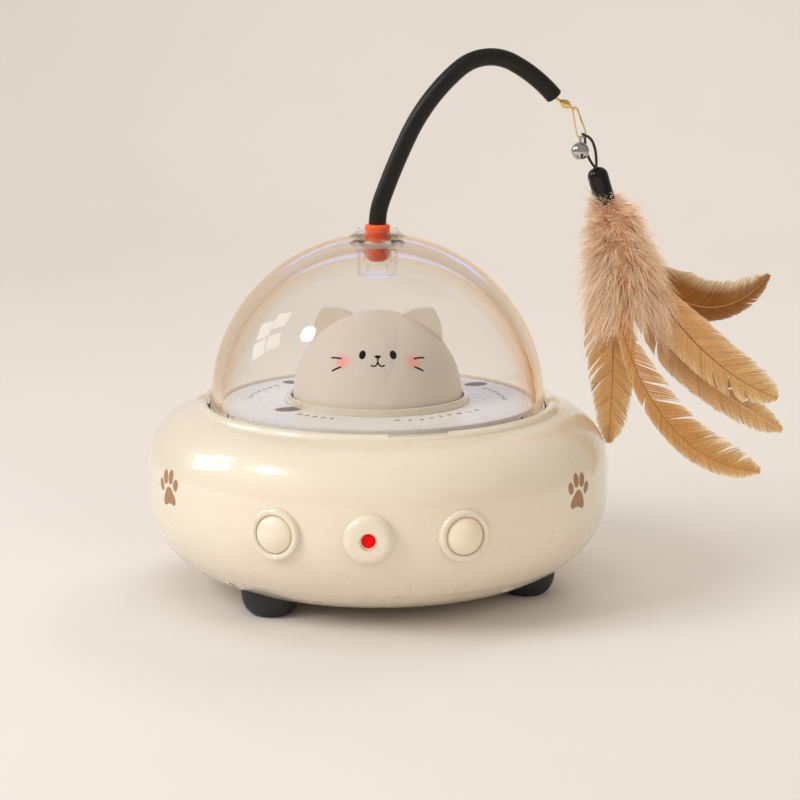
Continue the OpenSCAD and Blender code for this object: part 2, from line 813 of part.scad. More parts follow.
// Push button along +Z: flange behind the wall, shaft, domed face and a stem to the switch
module push_button(r, flange_r, face, dome) {
  sphere_r = (r * r + dome * dome) / (2 * dome);
  translate([0, 0, stem_end]) cylinder(r = stem_r, h = stem_l);
  translate([0, 0, cap_flange_at]) cylinder(r = flange_r, h = cap_flange_t);
  intersection() {
    translate([0, 0, cap_flange_at]) cylinder(r = r, h = far);
    translate([0, 0, face - sphere_r]) sphere(r = sphere_r);
    translate([0, 0, cap_flange_at]) cylinder(r = r, h = face - cap_flange_at);
  }
}
module side_button(az) {
  color([0.93, 0.88, 0.77]) outward(az, button_z)
    push_button(button_r, button_r + 0.8, body_r + bezel_proud + 0.8, 2.2);
}
module left_button() { side_button(-button_az); }
module right_button() { side_button(button_az); }
module power_button() {
  color([0.85, 0.05, 0.05]) outward(0, button_z) push_button(power_r, power_r + 2, power_face, 0.6);
}

module turntable() {
  color([0.9, 0.88, 0.87]) difference() {
    union() {
      translate([0, 0, hub_low_z]) cylinder(r = hub_r, h = dish_z - hub_low_z);
      translate([0, 0, dish_low_z]) cylinder(r = dish_r, h = seat_z - dish_low_z, $fn = 96);
      translate([0, 0, dish_low_z]) cylinder(r = dish_step_r, h = dish_t, $fn = 96);
      for (k = [0 : 2]) at_az(drive_rib_az + 120 * k)
        translate([dish_step_r - cut, -drive_rib_w / 2, seat_z - cut])
          cube([cut + dome_wall / 2, drive_rib_w, cut + drive_rib_h]);
    }
    translate([0, 0, hub_low_z - cut]) cylinder(r = spindle_r + run_fit, h = far);
  }
}

module turntable_gear() {
  color([0.95, 0.95, 0.92]) difference() {
    translate([0, 0, dish_low_z - ring_t]) rotate([0, 0, idler_dir + 180 / ring_teeth])
      gear(ring_teeth, ring_t);
    cylinder(r = hub_r + seat_fit, h = far);
  }
}

module collar_ring() {
  round_r = collar_t / 2;
  color([0.93, 0.88, 0.77]) translate([0, 0, dish_z]) {
    tube(collar_in_r + collar_t, collar_in_r, collar_h - round_r);
    translate([0, 0, collar_h - round_r]) ring(collar_in_r + round_r, round_r);
  }
}

module printed_disc() {
  color([0.9, 0.89, 0.92]) translate([0, 0, dish_z]) tube(dish_step_r - 0.2, disc_in_r, disc_t);
}

module dome() {
  color([0.95, 0.97, 1, 0.3]) difference() {
    union() {
      intersection() {
        translate([0, 0, dome_c_z]) sphere(r = dome_r, $fn = 96);
        translate([-far, -far, dome_c_z]) cube([2 * far, 2 * far, crown_z - dome_c_z]);
      }
      translate([0, 0, dome_low_z]) cylinder(r = dome_r, h = dome_c_z - dome_low_z, $fn = 96);
    }
    translate([0, 0, dome_low_z]) sphere(r = dome_in_r, $fn = 96);
    cylinder(r = socket_r + seat_fit, h = far);
    for (k = [0 : 2]) at_az(drive_rib_az + 120 * k)
      translate([dome_in_r - dome_wall, -drive_rib_w / 2 - free_gap, seat_z])
        cube([dome_wall * 3 / 2 + free_gap, drive_rib_w + 2 * free_gap, drive_rib_h + free_gap]);
  }
}

module wand_socket() {
  color([0.95, 0.97, 1, 0.3]) difference() {
    union() {
      rotate_extrude() polygon(concat(
        [[0, socket_low_z]],
        arc([socket_r - socket_edge_r, socket_low_z + socket_edge_r], socket_edge_r, -90, 0),
        [[socket_r, crown_z], [socket_flange_r, crown_z], [socket_flange_r, crown_z + socket_lip],
         [socket_rim_r, socket_top_z - socket_lip], [socket_rim_r, socket_top_z], [0, socket_top_z]]));
    }
    translate([0, 0, plug_seat_z]) cylinder(r = socket_bore_r, h = far);
    translate([0, 0, socket_low_z + socket_floor]) cylinder(r = plug_pocket_r, h = far);
  }
}

module grip_ring() {
  color([0.08, 0.08, 0.08]) translate([0, 0, grip_z])
    tube(socket_bore_r - run_fit, grip_in_r + run_fit, grip_h);
}

module wand_plug() {
  color([0.92, 0.25, 0.1]) difference() {
    rotate_extrude() polygon(concat(
      [[0, plug_low_z]],
      arc([plug_r - plug_edge_r, plug_low_z + plug_edge_r], plug_edge_r, -90, 0),
      [[plug_r, grip_z - face_gap], [grip_in_r, grip_z - face_gap],
       [grip_in_r, grip_z + grip_h + face_gap], [plug_r, grip_z + grip_h + face_gap],
       [plug_r, plug_top_z - plug_top_r]],
      arc([plug_r - plug_top_r, plug_top_z - plug_top_r], plug_top_r, 0, 90),
      [[0, plug_top_z]]));
    translate([0, 0, sleeve_low_z]) cylinder(r = sleeve_r + seat_fit, h = far);
  }
}

module wand_sleeve() {
  color([0.07, 0.07, 0.07]) wand_plane() hollow_loft(
    [for (s = wand_stations) station_ring(s, 0, sleeve_r, sleeve_sides)],
    [for (s = wand_stations) station_ring(s, 0, core_r + core_gap, sleeve_sides)]);
}

module wand_core() {
  wire_end = swivel_from + tip_wire * swivel_dir;
  stations = concat(wand_stations, wire_stations, [[wire_end[0], wire_end[1], swivel_heading]]);
  color("goldenrod") wand_plane() loft([for (s = stations) station_ring(s, 0, core_r, core_sides)]);
}

module swivel_barrel() {
  color("goldenrod") along_swivel(tip_wire) difference() {
    rotate_extrude() polygon(concat(
      [[0, 0]],
      [for (i = [0 : barrel_steps]) [
        barrel_end_r + (barrel_r - barrel_end_r) * sin(180 * i / barrel_steps), barrel_l * i / barrel_steps]],
      [[0, barrel_l]]));
    translate([0, 0, chamber_low]) cylinder(r = chamber_r, h = chamber_high - chamber_low);
    translate([0, 0, chamber_high - cut]) cylinder(r = eye_neck_r + run_fit, h = far);
  }
}

module swivel_eye() {
  color("goldenrod") along_swivel(tip_wire) {
    translate([0, 0, eye_head_at]) cylinder(r = eye_head_r, h = eye_head_h);
    translate([0, 0, eye_head_at]) cylinder(r = eye_neck_r, h = barrel_l + eye_neck_l - eye_head_at);
    translate([0, 0, barrel_l + eye_neck_l + eye_r]) rotate([0, 90, 0]) ring(eye_r, eye_wire_r);
  }
}

// Snap: an upper and a lower bend joined by two straight wires
module snap_hook() {
  color("goldenrod") hanging(snap_pivot, snap_lean) translate([0, 0, -snap_drop]) {
    rotate([90, 0, 0]) half_ring(snap_r, snap_wire_r);
    translate([0, 0, -snap_l]) rotate([90, 0, 0]) rotate([0, 0, 180]) half_ring(snap_r, snap_wire_r);
    for (s = [-1, 1]) translate([s * snap_r, 0, -snap_l]) cylinder(r = snap_wire_r, h = snap_l);
  }
}

module bell() {
  color("gainsboro") wand_plane() at_point(bell_c) difference() {
    sphere(r = bell_r);
    sphere(r = bell_r - bell_wall);
    translate([-bell_slot / 2, -far, -far]) cube([bell_slot, 2 * far, far - bell_r / 3]);
    for (s = [-1, 1]) translate([0, s * bell_r, -bell_r / 3]) rotate([90, 0, 0])
      cylinder(r = bell_hole_r, h = bell_r, center = true);
  }
}

module bell_ring() {
  color("gainsboro") hanging(bell_pivot, bell_hang) translate([0, 0, -bell_ring_drop])
    rotate([0, 90, 0]) ring(bell_ring_r, bell_wire_r);
}

module bell_pellet() {
  color("dimgray") wand_plane()
    at_point(bell_c - [0, bell_r - bell_wall - pellet_r - face_gap]) sphere(r = pellet_r);
}

// Side of the cord loop: its points and directions from the snap to the cap, then into the cap
function cord_leg(y, bow) =
  let (
    p = [cord_pivot[0], y, cord_pivot[1]],
    q = [cord_end[0], y, cord_end[1]],
    c = [p, p + bow[0], p + bow[1], q],
    into = [sin(cap_lean), 0, -cos(cap_lean)])
  concat(
    [for (k = [1 : cord_steps]) let (t = k / cord_steps)
      [bezier(c, t), unit(bezier(c, t + 0.01) - bezier(c, t - 0.01))]],
    [[q + cord_tail * into, into]]);

// Ring of points square to the cord, wound the same way round on each side of the loop
function cord_ring(p, d, side) =
  let (flat = unit([d[2], 0, -d[0]]), face = unit([0, 1, 0] - d[1] * d))
  [for (j = [0 : cord_sides - 1]) let (t = 360 * j / cord_sides)
    p + cord_r * (cos(t) * flat + side * sin(t) * face)];

// Cord from the cap up one side, over the snap and down the other side
module cord_loop() {
  right = cord_leg(-cord_loop_r, cord_right);
  left = cord_leg(cord_loop_r, cord_left);
  up = [-sin(cord_hang), 0, cos(cord_hang)];
  across = [cos(cord_hang), 0, sin(cord_hang)];
  pivot = [cord_pivot[0], 0, cord_pivot[1]];
  color([0.06, 0.06, 0.06]) wand_plane() loft(concat(
    [for (k = [len(right) - 1 : -1 : 0]) cord_ring(right[k][0], right[k][1], 1)],
    [for (a = [0 : 22.5 : 180])
      let (out = sin(a) * up - cos(a) * [0, 1, 0])
      [for (j = [0 : cord_sides - 1]) let (t = 360 * j / cord_sides)
        pivot + (cord_loop_r - cord_r * sin(t)) * out - cord_r * cos(t) * across]],
    [for (s = left) cord_ring(s[0], s[1], -1)]));
}

// Cap with a domed top, bored out for the quills
module lure_cap() {
  color([0.05, 0.05, 0.05]) wand_plane() at_point(cap_mouth) rotate([0, -cap_lean, 0]) difference() {
    rotate_extrude() polygon(concat(
      [[0, 0], [cap_r, 0]],
      arc([cap_r - cap_dome, cap_h - cap_dome], cap_dome, 0, 90),
      [[0, cap_h]]));
    translate([0, 0, -cut]) cylinder(r = cap_bore_r, h = cap_bore_l + cut);
    for (s = [-1, 1]) translate([0, s * cord_loop_r, cap_h - cord_tail - 1])
      cylinder(r = cord_r + 0.8, h = far);
  }
}

// Pipe between rings of points outside and rings of points inside
module hollow_loft(outer, inner) {
  n = len(outer[0]);
  rings = concat(outer, [for (i = [len(inner) - 1 : -1 : 0]) inner[i]]);
  m = len(rings);
  polyhedron(
    points = [for (r = rings) each r],
    faces = [for (i = [0 : m - 1], j = [0 : n - 1], k = [0, 1])
      let (a = i * n + j, b = i * n + (j + 1) % n, next = ((i + 1) % m - i) * n, c = a + next, d = b + next)
      k == 0 ? [a, c, b] : [b, c, d]]);
}

// Solid whose sections are rings of points
module loft(rings) {
  n = len(rings[0]);
  m = len(rings);
  sides = [for (i = [0 : m - 2], j = [0 : n - 1], k = [0, 1])
    let (a = i * n + j, b = i * n + (j + 1) % n)
    k == 0 ? [a, a + n, b] : [b, a + n, b + n]];
  polyhedron(
    points = [for (r = rings) each r],
    faces = concat(sides, [[for (j = [0 : n - 1]) j]], [[for (j = [n - 1 : -1 : 0]) (m - 1) * n + j]]));
}

module lure_frame() { wand_plane() at_point(cap_mouth) children(); }

module down_plume() {
  color([0.85, 0.72, 0.6]) lure_frame() loft([for (s = plume_rings)
    [for (j = [0 : plume_sides - 1]) let (a = 360 * j / plume_sides)
      [s[1] + s[2] * cos(a), s[3] * sin(a), s[0]]]]);
}

// Vane width along a feather, from the end of its bare quill to its round tip
function vane(t, w, grow, blunt) = t < quill_end ? quill_w :
  let (x = (t - quill_end) / (1 - quill_end))
  quill_w + w * pow(min(1, x / 0.4), 0.6) * (1 + grow * (x - 0.5)) * sqrt(max(0, 1 - pow(x, blunt)));

// Feather along a curve: p holds its control points, w its vane widths below and above the shaft,
// grow how these widen towards the tip, blunt how square the tip is, roll its turn about the shaft
module feather(p, w, grow, blunt, roll) {
  lure_frame() loft([for (i = [0 : feather_steps])
    let (
      t = sin(90 * i / feather_steps),
      q = bezier(p, t),
      d = unit(bezier(p, t + 0.01) - bezier(p, t - 0.01)),
      flat = unit(cross(d, [0, 1, 0])),
      side = cos(roll) * flat + sin(roll) * [0, 1, 0],
      face = cos(roll) * [0, 1, 0] - sin(roll) * flat,
      h = feather_t / 2 * (1.05 - 0.75 * t))
    [q - vane(t, w[0], grow[0], blunt) * side, q + h * face,
     q + vane(t, w[1], grow[1], blunt) * side, q - h * face]]);
}
module tan_feather(p, w, grow, blunt, roll) { color([0.72, 0.5, 0.28]) feather(p, w, grow, blunt, roll); }
module feather_1() {
  tan_feather([[0.6, 1.9, 3], [8.7, 6, -32], [51.2, 13, -71.7], [79.8, 12, -34.2]],
    [7, 14], [0, 0], 3, 22);
}
module feather_2() {
  tan_feather([[0.2, -0.7, 3], [14.8, -3, -34.1], [41.4, -5, -74.7], [80.7, -3, -89.2]],
    [9.2, 10.5], [0, 0.35], 7, -10);
}
module feather_3() {
  tan_feather([[0.9, 0.5, 3], [4.1, 3, -51.9], [44.8, 5, -82], [86.3, 6, -106.1]],
    [8.5, 7], [0, 0.2], 6, 8);
}
module feather_4() {
  tan_feather([[-1, -1.9, 3], [-2.9, -8, -42.8], [14.9, -13, -116.4], [72, -10, -120.1]],
    [5.5, 10], [0.5, 0.5], 7, 12);
}
module feather_5() {
  tan_feather([[-2.3, 0.4, 3], [6.8, 5, -35.3], [7.4, 7, -73], [5.2, 9, -110]],
    [11.5, 9.5], [-0.9, 0], 6, -12);
}

module head_carrier() {
  color([0.9, 0.9, 0.88]) difference() {
    union() {
      translate([0, 0, carrier_low_z]) cylinder(r = head_r - 0.2, h = carrier_rim_t);
      translate([0, 0, head_low_z]) cylinder(r = head_r - head_wall - 0.2, h = carrier_t);
    }
    cylinder(r = spindle_r + seat_fit, h = far);
  }
}

module led_board() {
  color([0.1, 0.4, 0.25]) translate([-led_board_w / 2, led_board_y - led_board_t / 2, carrier_top_z])
    cube([led_board_w, led_board_t, led_board_h]);
}

module cheek_leds() {
  color([1, 0.6, 0.6]) for (s = [-1, 1])
    translate([s * led_x, led_board_y - led_board_t / 2, carrier_top_z + led_up]) rotate([90, 0, 0]) {
      cylinder(r = led_r, h = led_l - led_r);
      translate([0, 0, led_l - led_r]) sphere(r = led_r);
    }
}

// Flat ear with a round tip, standing on the head
module ear() {
  c = [ear_x, ear_z];
  translate([0, ear_t / 2, 0]) rotate([90, 0, 0]) linear_extrude(ear_t) {
    polygon(concat(
      bulge(ear_low, tangent_point(ear_low, c, ear_tip_r, 1), ear_bulge), [c],
      bulge(tangent_point(ear_high, c, ear_tip_r, -1), ear_high, ear_bulge), [[0, head_r / 2]]));
    translate(c) circle(ear_tip_r);
  }
}

module cat_head() {
  color([0.75, 0.68, 0.62]) difference() {
    union() {
      translate([0, 0, head_c_z]) sphere(r = head_r, $fn = 96);
      translate([0, 0, head_low_z]) cylinder(r = head_r, h = head_c_z - head_low_z, $fn = 96);
      translate([0, 0, head_c_z]) for (s = [0, 1]) mirror([s, 0, 0]) ear();
    }
    translate([0, 0, head_c_z]) sphere(r = head_r - head_wall, $fn = 96);
    translate([0, 0, head_low_z - cut])
      cylinder(r = head_r - head_wall, h = head_c_z - head_low_z + cut, $fn = 96);
    translate([-far, -far, head_low_z - far]) cube([2 * far, 2 * far, far]);
  }
}

body_shell();
bottom_cover();
foot_front_left();
foot_right();
foot_rear();
cover_screws();
gear_deck();
deck_screws();
spindle();
thrust_washer();
spindle_nut();
motor_can();
motor_screws();
idler_pin();
battery_cell();
battery_holder();
main_board();
board_parts();
usb_socket();
button_boards();
tact_switches();
head_carrier();
led_board();
cheek_leds();
cat_head();
turntable();
turntable_gear();
collar_ring();
printed_disc();
idler_gear();
motor_pinion();
motor_shaft();
dome();
wand_socket();
grip_ring();
wand_plug();
wand_sleeve();
wand_core();
swivel_barrel();
swivel_eye();
snap_hook();
bell();
bell_ring();
bell_pellet();
cord_loop();
lure_cap();
down_plume();
feather_1();
feather_2();
feather_3();
feather_4();
feather_5();
left_button();
right_button();
power_button();
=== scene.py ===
"""Looks of the hanging feather cat toy: materials, markings, down and feathers round the CAD frame.

Lengths are written in millimetres and become metres where a mesh is made.
"""

import math
import random

import bpy
import numpy as np
from mathutils import Euler, Matrix


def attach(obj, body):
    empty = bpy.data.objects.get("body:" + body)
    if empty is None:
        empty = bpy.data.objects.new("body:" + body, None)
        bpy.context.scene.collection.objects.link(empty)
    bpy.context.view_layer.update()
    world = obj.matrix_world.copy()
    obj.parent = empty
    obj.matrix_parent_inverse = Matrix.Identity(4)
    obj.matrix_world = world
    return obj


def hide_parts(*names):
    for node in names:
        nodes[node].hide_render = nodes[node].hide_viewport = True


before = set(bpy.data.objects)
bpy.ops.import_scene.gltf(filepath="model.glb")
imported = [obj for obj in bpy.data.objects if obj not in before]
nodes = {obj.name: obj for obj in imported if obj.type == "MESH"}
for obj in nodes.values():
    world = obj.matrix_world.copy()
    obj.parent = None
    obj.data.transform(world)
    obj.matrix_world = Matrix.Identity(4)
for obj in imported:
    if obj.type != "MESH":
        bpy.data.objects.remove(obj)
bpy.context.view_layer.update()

MM = 0.001
WAND_AZ = math.radians(12)

# Base profile, as in the part's source
BODY_R = 100
BAND_TOP_Z = 55.5
SHOULDER_R = 25

# Head sphere, the middle of its face in degrees, and the cheeks' place beside it and size
HEAD_C = np.array([0, 0, 85.5])
HEAD_R = 36.4
FACE_LON = 2.2
FACE_LAT = 36.8
CHEEK_LON = 28.5
CHEEK_LAT = 30.8
CHEEK_R = 5.6

# Levels of the prints on the dish and on the side
PRINT_Z = 83.0
PAW_Z = 54.6

# Wand: bend radii and angles from the plug's top
PLUG_TOP_Z = 159.0
SLEEVE_LOW_Z = 146.9
WAND_BENDS = [(30, 20), (286, 6), (85, 24), (21, 68), (63, 22)]
SLEEVE_R = 3.75
CORE_R = 0.6
WIRE_BEND_R = 3
WIRE_TURN = 19
TIP_WIRE = 2

# Snap: where the swivel's eye carries it, its lean, the middle of its low bend, its bends and its wire
SNAP_PIVOT = (86.204, 206.458)
SNAP_LEAN = 16
SNAP_LOW = (89.126, 196.269)
SNAP_BENDS = (1.1, 2.0)
SNAP_WIRE_R = 0.35

# Side buttons: azimuth, height, and the crown's radius, edge and top from the toy's axis
BUTTON_AZ = 22.4
BUTTON_Z = 45
CROWN_R = 7.7
CROWN_EDGE = 101.4
CROWN_TOP = 104.9

# Cord loop: where it crosses the snap, its span to the cap, and how its two sides bow
CORD_PIVOT = (90.858, 195.269)
CORD_HANG = 60
CORD_SPAN = 14.871
CORD_LEAN = 19.211
CORD_RIGHT = [(3.2, 0, -0.6), (5.2, 0, -6)]
CORD_LEFT = [(1.8, 3.5, -1.8), (1.2, 8.6, -8)]
CORD_LOOP_R = 1.2
CORD_R = 0.6
CORD_TAIL = 3

# Middle of the cap's mouth in the wand's plane, and the lean of the cap
CAP_MOUTH = np.array([100.429, 0, 165.925])
CAP_LEAN = 17

# Feathers: control points from the cap's mouth, vane widths below and above the shaft, how these
# widen towards the tip, how square the tip is, roll
FEATHERS = [
    ([(0.6, 1.9, 3), (8.7, 6, -32), (51.2, 13, -71.7), (79.8, 12, -34.2)],
     (7, 14), (0, 0), 2.4, 22),
    ([(0.2, -0.7, 3), (14.8, -3, -34.1), (41.4, -5, -74.7), (80.7, -3, -89.2)],
     (9.2, 10.5), (0, 0.35), 5.5, -10),
    ([(0.9, 0.5, 3), (4.1, 3, -51.9), (44.8, 5, -82), (86.3, 6, -106.1)],
     (8.5, 7), (0, 0.2), 4.5, 8),
    ([(-1, -1.9, 3), (-2.9, -8, -42.8), (14.9, -13, -116.4), (72, -10, -120.1)],
     (5.5, 10), (0.5, 0.5), 5.5, 12),
    ([(-2.3, 0.4, 3), (6.8, 5, -35.3), (7.4, 7, -73), (5.2, 9, -110)],
     (11.5, 9.5), (-0.9, 0), 4.5, -12),
]
QUILL_END = 0.28
QUILL_W = 0.5

# Barbs on each side of a shaft: number, first and last root as a share of the shaft, widths along a barb
BARBS = 330
BARB_START = 0.2
BARB_END = 0.985
BARB_WIDTHS = (0.62, 0.62, 0.60, 0.56, 0.50, 0.42, 0.30, 0.08)

# Share of parted clumps by feather and side, where it is not the usual one
PARTED = {(4, -1): 0.55, (3, 1): 0.35}
USUALLY_PARTED = 0.12

# Down: height from the cap's mouth, middle, half width and half depth
PLUME = [
    (2.5, 0.2, 6, 6),
    (-3, 2.6, 11.5, 10),
    (-14, 5.7, 15.8, 12.5),
    (-26, 8.8, 18.5, 14),
    (-38, 12.0, 20.5, 14),
    (-47, 11, 17.5, 11),
    (-56, 8.5, 10.5, 7),
]

# Strands: tufts, strands in a tuft, widths along a strand, share of loose ones, turn from tuft to tuft
TUFTS = 420
STRANDS = 22
STRAND_WIDTHS = (0.22, 0.20, 0.18, 0.16, 0.13, 0.09, 0.03)
WISP_SHARE = 0.07
GOLDEN_TURN = 2.39996

# Camera: the photo's side and focal length in pixels, its frame's shift in pixels, and where it stands
PHOTO_PX = 800
FOCAL_PX = 2833
SHIFT_PX = (22.5, -2)
SENSOR = 36
CAMERA_AIM = np.array([0, 0, 83]) * MM
CAMERA_AWAY = 1.228
CAMERA_PITCH = math.radians(11.25)
CAMERA_AZ = math.radians(2)

# Middle of the toy for the lamps, and how far off the small lamps stand, in metres
HEART = np.array([0, 0, 0.1])
LAMP_AWAY = 1.4

# Turned faces: vertices nearer than this, in metres, are joined, and edges under this angle are smooth
WELD_GAP = 0.00001
SHARP_ANGLE = 26


# Geometry helpers


def unit(v):
    v = np.asarray(v, float)
    return v / np.linalg.norm(v)


def from_wand_plane(p):
    """Point (u, n, w) of the wand's plane in the part's frame, in millimetres."""
    u, n, w = p
    c, s = math.cos(WAND_AZ), math.sin(WAND_AZ)
    return np.array([u * c - n * s, u * s + n * c, w])


def new_piece(name, verts, faces, material, body, stands_for=(), smooth=True, tints=None):
    """Mesh piece from millimetre points, riding on a CAD body. tints holds a colour per vertex."""
    mesh = bpy.data.meshes.new(name)
    mesh.from_pydata([tuple(float(c) * MM for c in v) for v in verts], [], faces)
    mesh.materials.append(material)
    if tints is not None:
        layer = mesh.color_attributes.new("tint", "FLOAT_COLOR", "POINT")
        flat = np.ones((len(verts), 4), np.float32)
        flat[:, :3] = tints
        layer.data.foreach_set("color", flat.ravel())
    mesh.polygons.foreach_set("use_smooth", [smooth] * len(mesh.polygons))
    mesh.validate()
    piece = bpy.data.objects.new(name, mesh)
    bpy.context.scene.collection.objects.link(piece)
    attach(piece, body)
    if stands_for:
        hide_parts(*stands_for)
    return piece


def ring_faces(rings, sides, closed_ends=True):
    """Faces between successive rings of points, with a cap at each end."""
    faces = []
    for i in range(rings - 1):
        for j in range(sides):
            k = (j + 1) % sides
            faces.append((i * sides + j, i * sides + k, (i + 1) * sides + k, (i + 1) * sides + j))
    if closed_ends:
        faces.append(tuple(range(sides - 1, -1, -1)))
        faces.append(tuple((rings - 1) * sides + j for j in range(sides)))
    return faces


def sweep(points, radii, sides):
    """Round tube along points: its vertices and faces."""
    points = [np.asarray(p, float) for p in points]
    tangents = [unit(points[min(i + 1, len(points) - 1)] - points[max(i - 1, 0)]) for i in range(len(points))]
    start = np.array([0, 0, 1.0]) if abs(tangents[0][2]) < 0.8 else np.array([1.0, 0, 0])
    normal = unit(np.cross(tangents[0], start))
    verts = []
    for p, t, r in zip(points, tangents, radii):
        normal = unit(normal - t * (normal @ t))
        across = np.cross(t, normal)
        for j in range(sides):
            a = 2 * math.pi * j / sides
            verts.append(p + r * (math.cos(a) * normal + math.sin(a) * across))
    return verts, ring_faces(len(points), sides)


def looking_back(away):
    """Turn of a lamp or camera that looks back along a direction."""
    x, y, z = unit(away)
    return (math.acos(z), 0.0, math.atan2(x, -y))


def bezier(p, t):
    a, b, c, d = (np.asarray(q, float) for q in p)
    return (1 - t) ** 3 * a + 3 * t * (1 - t) ** 2 * b + 3 * t * t * (1 - t) * c + t**3 * d


# Materials


class Look:
    """Principled material whose nodes are added one line at a time."""

    def __init__(self, name, **sockets):
        self.material = bpy.data.materials.new(name)
        self.material.use_nodes = True
        self.tree = self.material.node_tree
        self.shader = self.tree.nodes["Principled BSDF"]
        for key, value in sockets.items():
            self.set(key.replace("_", " "), value)
        self.place = self.add("ShaderNodeTexCoord").outputs["Object"]

    def set(self, socket, value):
        if isinstance(value, tuple) and len(value) == 3:
            value = (*value, 1)
        self.shader.inputs[socket].default_value = value

    def add(self, kind, inputs=None, **settings):
        node = self.tree.nodes.new(kind)
        for key, value in settings.items():
            setattr(node, key, value)
        for key, value in (inputs or {}).items():
            if isinstance(value, bpy.types.NodeSocket):
                self.tree.links.new(value, node.inputs[key])
            else:
                node.inputs[key].default_value = value
        return node

    def link(self, output, socket):
        self.tree.links.new(output, self.shader.inputs[socket])

    def noise(self, scale, detail=3, rough=0.55, place=None):
        return self.add(
            "ShaderNodeTexNoise",
            {"Vector": place or self.place, "Scale": scale, "Detail": detail, "Roughness": rough},
        ).outputs["Fac"]

    def span(self, factor, low, high, at=(0.3, 0.7)):
        """factor stretched from at to low and high."""
        return self.add(
            "ShaderNodeMapRange",
            {"Value": factor, "From Min": at[0], "From Max": at[1], "To Min": low, "To Max": high},
        ).outputs["Result"]

    def mix(self, factor, a, b, blend="MIX"):
        node = self.add("ShaderNodeMix", data_type="RGBA", blend_type=blend)
        for socket, value in ((node.inputs[0], factor), (node.inputs[6], a), (node.inputs[7], b)):
            if isinstance(value, bpy.types.NodeSocket):
                self.tree.links.new(value, socket)
            else:
                socket.default_value = value if not isinstance(value, tuple) else (*value, 1)
        return node.outputs[2]

    def bump(self, height, strength, distance):
        node = self.add("ShaderNodeBump", {"Height": height, "Strength": strength, "Distance": distance})
        self.link(node.outputs["Normal"], "Normal")


def moulded(name, dark, light, rough, grain=900, bump=0.05, patch=25, **sockets):
    """Moulded plastic or rubber: faint colour patches, uneven gloss and a fine surface grain."""
    look = Look(name, **sockets)
    patches = look.noise(patch)
    look.link(look.mix(look.span(patches, 0, 1), dark, light), "Base Color")
    look.link(look.span(look.noise(patch * 4), rough * 0.85, rough * 1.15), "Roughness")
    look.bump(look.noise(grain, 2), bump, 0.0002)
    return look


def metal(name, dark, light, rough, scratch=400):
    """Plated metal with faint tarnish and fine uneven polish."""
    look = Look(name, Metallic=1.0)
    look.link(look.mix(look.span(look.noise(180), 0, 1), dark, light), "Base Color")
    look.link(look.span(look.noise(scratch, 4), rough * 0.7, rough * 1.4), "Roughness")
    look.bump(look.noise(scratch * 3, 2), 0.03, 0.0001)
    return look


cream = moulded(
    "cream_plastic", (0.78, 0.69, 0.54), (0.81, 0.72, 0.575), 0.3, grain=1400, bump=0.015,
    Coat_Weight=1.0, Coat_Roughness=0.08, Coat_IOR=1.7, Specular_IOR_Level=0.4,
)
button_cream = moulded(
    "button_plastic", (0.83, 0.73, 0.565), (0.86, 0.765, 0.60), 0.28, grain=1400, bump=0.015,
    Coat_Weight=0.8, Coat_Roughness=0.08,
)
dish_white = moulded("dish_plastic", (0.89, 0.875, 0.855), (0.92, 0.905, 0.885), 0.38, bump=0.03)
print_sheet = moulded("print_sheet", (0.90, 0.887, 0.87), (0.93, 0.917, 0.90), 0.30, bump=0.02)
foot_rubber = moulded("foot_rubber", (0.012, 0.014, 0.017), (0.022, 0.025, 0.03), 0.6, grain=600, bump=0.2)
black_rubber = moulded(
    "wand_rubber", (0.006, 0.005, 0.004), (0.011, 0.009, 0.007), 0.42, grain=700, bump=0.2,
    Specular_IOR_Level=0.32,
)
orange_silicone = moulded("orange_silicone", (0.86, 0.085, 0.010), (0.93, 0.12, 0.018), 0.32, bump=0.04)
cord_black = moulded("cord_wax", (0.010, 0.009, 0.008), (0.020, 0.017, 0.015), 0.4, grain=2500, bump=0.3)
cap_black = moulded(
    "cap_plastic", (0.004, 0.004, 0.004), (0.008, 0.007, 0.006), 0.09, bump=0.02, Specular_IOR_Level=0.35
)
inner_plastic = moulded("inner_plastic", (0.72, 0.72, 0.69), (0.78, 0.78, 0.75), 0.45, bump=0.08)
black_plastic = moulded("black_plastic", (0.012, 0.012, 0.013), (0.025, 0.025, 0.026), 0.5, bump=0.1)
cell_wrap = moulded("cell_wrap", (0.07, 0.16, 0.36), (0.09, 0.19, 0.40), 0.3, bump=0.03)
board_green = moulded("board_mask", (0.012, 0.11, 0.05), (0.018, 0.14, 0.065), 0.35, grain=500, bump=0.1)
led_pink = moulded("led_lens", (0.9, 0.35, 0.35), (0.95, 0.45, 0.42), 0.15, Transmission_Weight=0.4)
red_lens = moulded("red_lens", (0.92, 0.0, 0.0), (0.97, 0.002, 0.002), 0.4, Specular_IOR_Level=0.12)
steel = metal("steel", (0.50, 0.50, 0.51), (0.62, 0.62, 0.63), 0.3)
brass = metal("brass", (0.90, 0.60, 0.17), (0.98, 0.74, 0.28), 0.24)
bell_chrome = metal("bell_chrome", (0.52, 0.50, 0.49), (0.62, 0.60, 0.59), 0.14)
ink_brown = moulded("ink_brown", (0.36, 0.175, 0.070), (0.42, 0.215, 0.095), 0.4, grain=1200)
ink_black = moulded(
    "ink_black", (0.002, 0.002, 0.002), (0.005, 0.004, 0.004), 0.5, grain=1200, Specular_IOR_Level=0.15
)
ink_grey = moulded("ink_grey", (0.16, 0.13, 0.125), (0.22, 0.18, 0.17), 0.4, grain=1200)


def head_point(lon, lat, lift=0.0):
    """Point on the cat head at a longitude from the front and a latitude, in degrees."""
    a, b = math.radians(lon), math.radians(lat)
    d = np.array([math.sin(a) * math.cos(b), -math.cos(a) * math.cos(b), math.sin(b)])
    return HEAD_C + (HEAD_R + lift) * d


